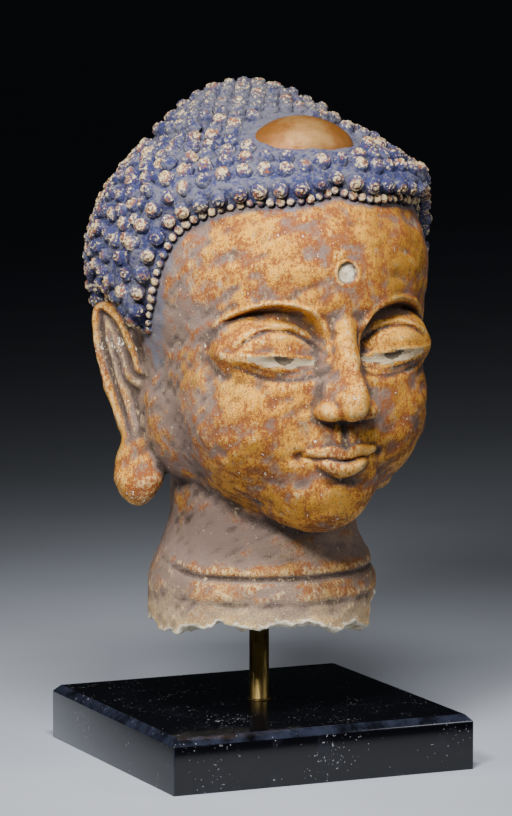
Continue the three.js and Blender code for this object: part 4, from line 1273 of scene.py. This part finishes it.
class STUCCO_OT_rod(bpy.types.Operator):
    """Add the brass rod with its foot ring"""
    bl_idname = "stucco.rod"
    bl_label = "Rod"

    def execute(self, context):
        mount = settings().mount
        ring_radius = (ROD_HIGH[0] - ROD_LOW[0]) / 2
        radius = ring_radius - mount.ring_width
        foot = PLINTH_HIGH[2]
        soft = mount.ring_height / 3
        profile = [(radius - soft, ROD_LOW[2]), (radius, ROD_LOW[2] + soft), (radius, foot),
                   (ring_radius, foot), (ring_radius, foot + mount.ring_height - soft),
                   (ring_radius - soft, foot + mount.ring_height), (radius + soft, foot + mount.ring_height),
                   (radius, foot + mount.ring_height + soft), (radius, ROD_HIGH[2] - soft),
                   (radius - soft, ROD_HIGH[2])]
        centre = ((ROD_LOW[0] + ROD_HIGH[0]) / 2, (ROD_LOW[1] + ROD_HIGH[1]) / 2)
        vertices, faces = rings_of(profile, ROD_SIDES, centre)
        faces.append(list(range(len(vertices) - ROD_SIDES, len(vertices))))
        piece = add_piece("brass_rod", vertices, faces)
        finish_piece(piece, aged_brass(mount), "rod_brass", "mount_rod")
        return {"FINISHED"}


class STUCCO_OT_plinth(bpy.types.Operator):
    """Add the lacquered plinth with its chamfered top"""
    bl_idname = "stucco.plinth"
    bl_label = "Plinth"

    def execute(self, context):
        mount = settings().mount
        low, high = Vector(PLINTH_LOW), Vector(PLINTH_HIGH)
        chamfer = mount.chamfer
        vertices = []
        for inset, level in ((0, low.z), (0, high.z - chamfer), (chamfer, high.z)):
            for x, y in ((low.x + inset, low.y + inset), (high.x - inset, low.y + inset),
                         (high.x - inset, high.y - inset), (low.x + inset, high.y - inset)):
                vertices.append((x, y, level))
        faces = [[3, 2, 1, 0], [8, 9, 10, 11]]
        for ring in (0, 4):
            for side in range(4):
                after = (side + 1) % 4
                faces.append([ring + side, ring + after, ring + 4 + after, ring + 4 + side])
        piece = add_piece("lacquer_plinth", vertices, faces, smooth=False)
        bevel = piece.modifiers.new("Rounded edges", "BEVEL")
        bevel.width = mount.edge_radius
        bevel.segments = 3
        bevel.limit_method = "ANGLE"
        bevel.angle_limit = math.radians(20)
        mesh = evaluated_mesh(piece)
        piece.modifiers.clear()
        piece.data = mesh
        mesh.shade_smooth()
        edge = [float(max(abs(part) for part in face.normal) < 0.99) for face in mesh.polygons]
        mesh.attributes.new("edge", "FLOAT", "FACE").data.foreach_set("value", edge)
        finish_piece(piece, black_lacquer(mount), "plinth_lacquer", "plinth")
        return {"FINISHED"}


def away_at(azimuth, elevation):
    """Direction from the object at an angle round it and an angle above the floor."""
    level = math.cos(elevation)
    return Vector((math.sin(azimuth) * level, -math.cos(azimuth) * level, math.sin(elevation)))


def soft_light(name, azimuth, elevation, distance, size, spread, watts, aim):
    """A square soft light at an angle round the object, looking at a place; its spread is in degrees."""
    lamp = bpy.data.lights.new(name, "AREA")
    lamp.shape = "RECTANGLE"
    lamp.size, lamp.size_y = size
    lamp.energy = watts
    lamp.spread = math.radians(spread)
    thing = bpy.data.objects.new(name, lamp)
    bpy.context.collection.objects.link(thing)
    away = away_at(math.radians(azimuth), math.radians(elevation))
    thing.location = Vector(aim) + away * distance
    thing.rotation_euler = away.to_track_quat("Z", "Y").to_euler()


class STUCCO_OT_stage(bpy.types.Operator):
    """Add the floor, the lights and the camera"""
    bl_idname = "stucco.stage"
    bl_label = "Stage"

    def execute(self, context):
        stage = settings().stage
        away = away_at(stage.azimuth, stage.elevation)
        ahead = away_at(stage.azimuth, 0)
        right = Vector((-ahead.y, ahead.x, 0))
        corners = [right * across + ahead * along for across, along in FLOOR_CORNERS]
        floor = add_piece("floor", corners, [[0, 1, 2, 3]], smooth=False)
        floor.data.materials.append(matt_floor(stage))

        middle = (0, 0, 0.33)
        soft_light("Key", -40, 31, 1.5, (0.35, 0.3), 58, 3.9, middle)
        soft_light("Top", -20, 62, 1.4, (0.4, 0.3), 60, 4.0, ahead * 0.2 + Vector((0, 0, 0.2)))
        soft_light("Fill", 52, 30, 1.6, (0.6, 0.6), 80, 1.5, middle)
        soft_light("Left", -95, 30, 1.5, (0.6, 0.6), 80, 1.6, middle)

        world = bpy.data.worlds.new("Dark room")
        world.use_nodes = True
        feed(world.node_tree, world.node_tree.nodes["Background"],
             {"Color": (0.045, 0.05, 0.06, 1), "Strength": 0.15})
        context.scene.world = world

        up = away.cross(right)
        lens = bpy.data.cameras.new("Camera")
        lens.lens = stage.focal_pixels / PICTURE_HEIGHT * SENSOR
        lens.sensor_width = SENSOR
        lens.sensor_fit = "AUTO"
        lens.clip_end = 50
        camera = bpy.data.objects.new("Camera", lens)
        context.collection.objects.link(camera)
        target = right * stage.aim_right + up * stage.aim_up
        turn = Matrix((right, up, away)).transposed()
        camera.matrix_world = Matrix.Translation(target + away * stage.distance) @ turn.to_4x4()
        context.scene.camera = camera
        return {"FINISHED"}


class STUCCO_PT_head(bpy.types.Panel):
    """Steps that build the head on its plinth"""
    bl_label = "Stucco head"
    bl_idname = "STUCCO_PT_head"
    bl_space_type = "VIEW_3D"
    bl_region_type = "UI"
    bl_category = "Stucco head"

    def draw(self, context):
        for step in STEPS:
            self.layout.operator(step.bl_idname)


class StuccoSettings(bpy.types.PropertyGroup):
    face_height: length("Face height", 0.268, "From the chin to the notch of the hairline")
    chin_height: length("Chin height", 0.1975, "From the plinth's underside up to the chin")
    turn: turning("Turn", 2, "Turn of the head on its plinth")
    skin: PointerProperty(name="Head", type=StuccoHeadSettings)
    hair: PointerProperty(name="Hair", type=StuccoHairSettings)
    mount: PointerProperty(name="Mount", type=StuccoMountSettings)
    stage: PointerProperty(name="Stage", type=StuccoStageSettings)


STEPS = (STUCCO_OT_head_skin, STUCCO_OT_hair, STUCCO_OT_dome, STUCCO_OT_rod, STUCCO_OT_plinth,
         STUCCO_OT_stage)
GROUPS = (StuccoHeadSettings, StuccoHairSettings, StuccoMountSettings, StuccoStageSettings, StuccoSettings)


def register():
    for kind in (*GROUPS, *STEPS, STUCCO_PT_head):
        bpy.utils.register_class(kind)
    bpy.types.Scene.stucco_head = PointerProperty(type=StuccoSettings)


def unregister():
    del bpy.types.Scene.stucco_head
    for kind in reversed((*GROUPS, *STEPS, STUCCO_PT_head)):
        bpy.utils.unregister_class(kind)


def main():
    register()
    bpy.ops.stucco.head_skin()
    bpy.ops.stucco.hair()
    bpy.ops.stucco.dome()
    bpy.ops.stucco.rod()
    bpy.ops.stucco.plinth()
    bpy.ops.stucco.stage()


if __name__ == "__main__":
    main()
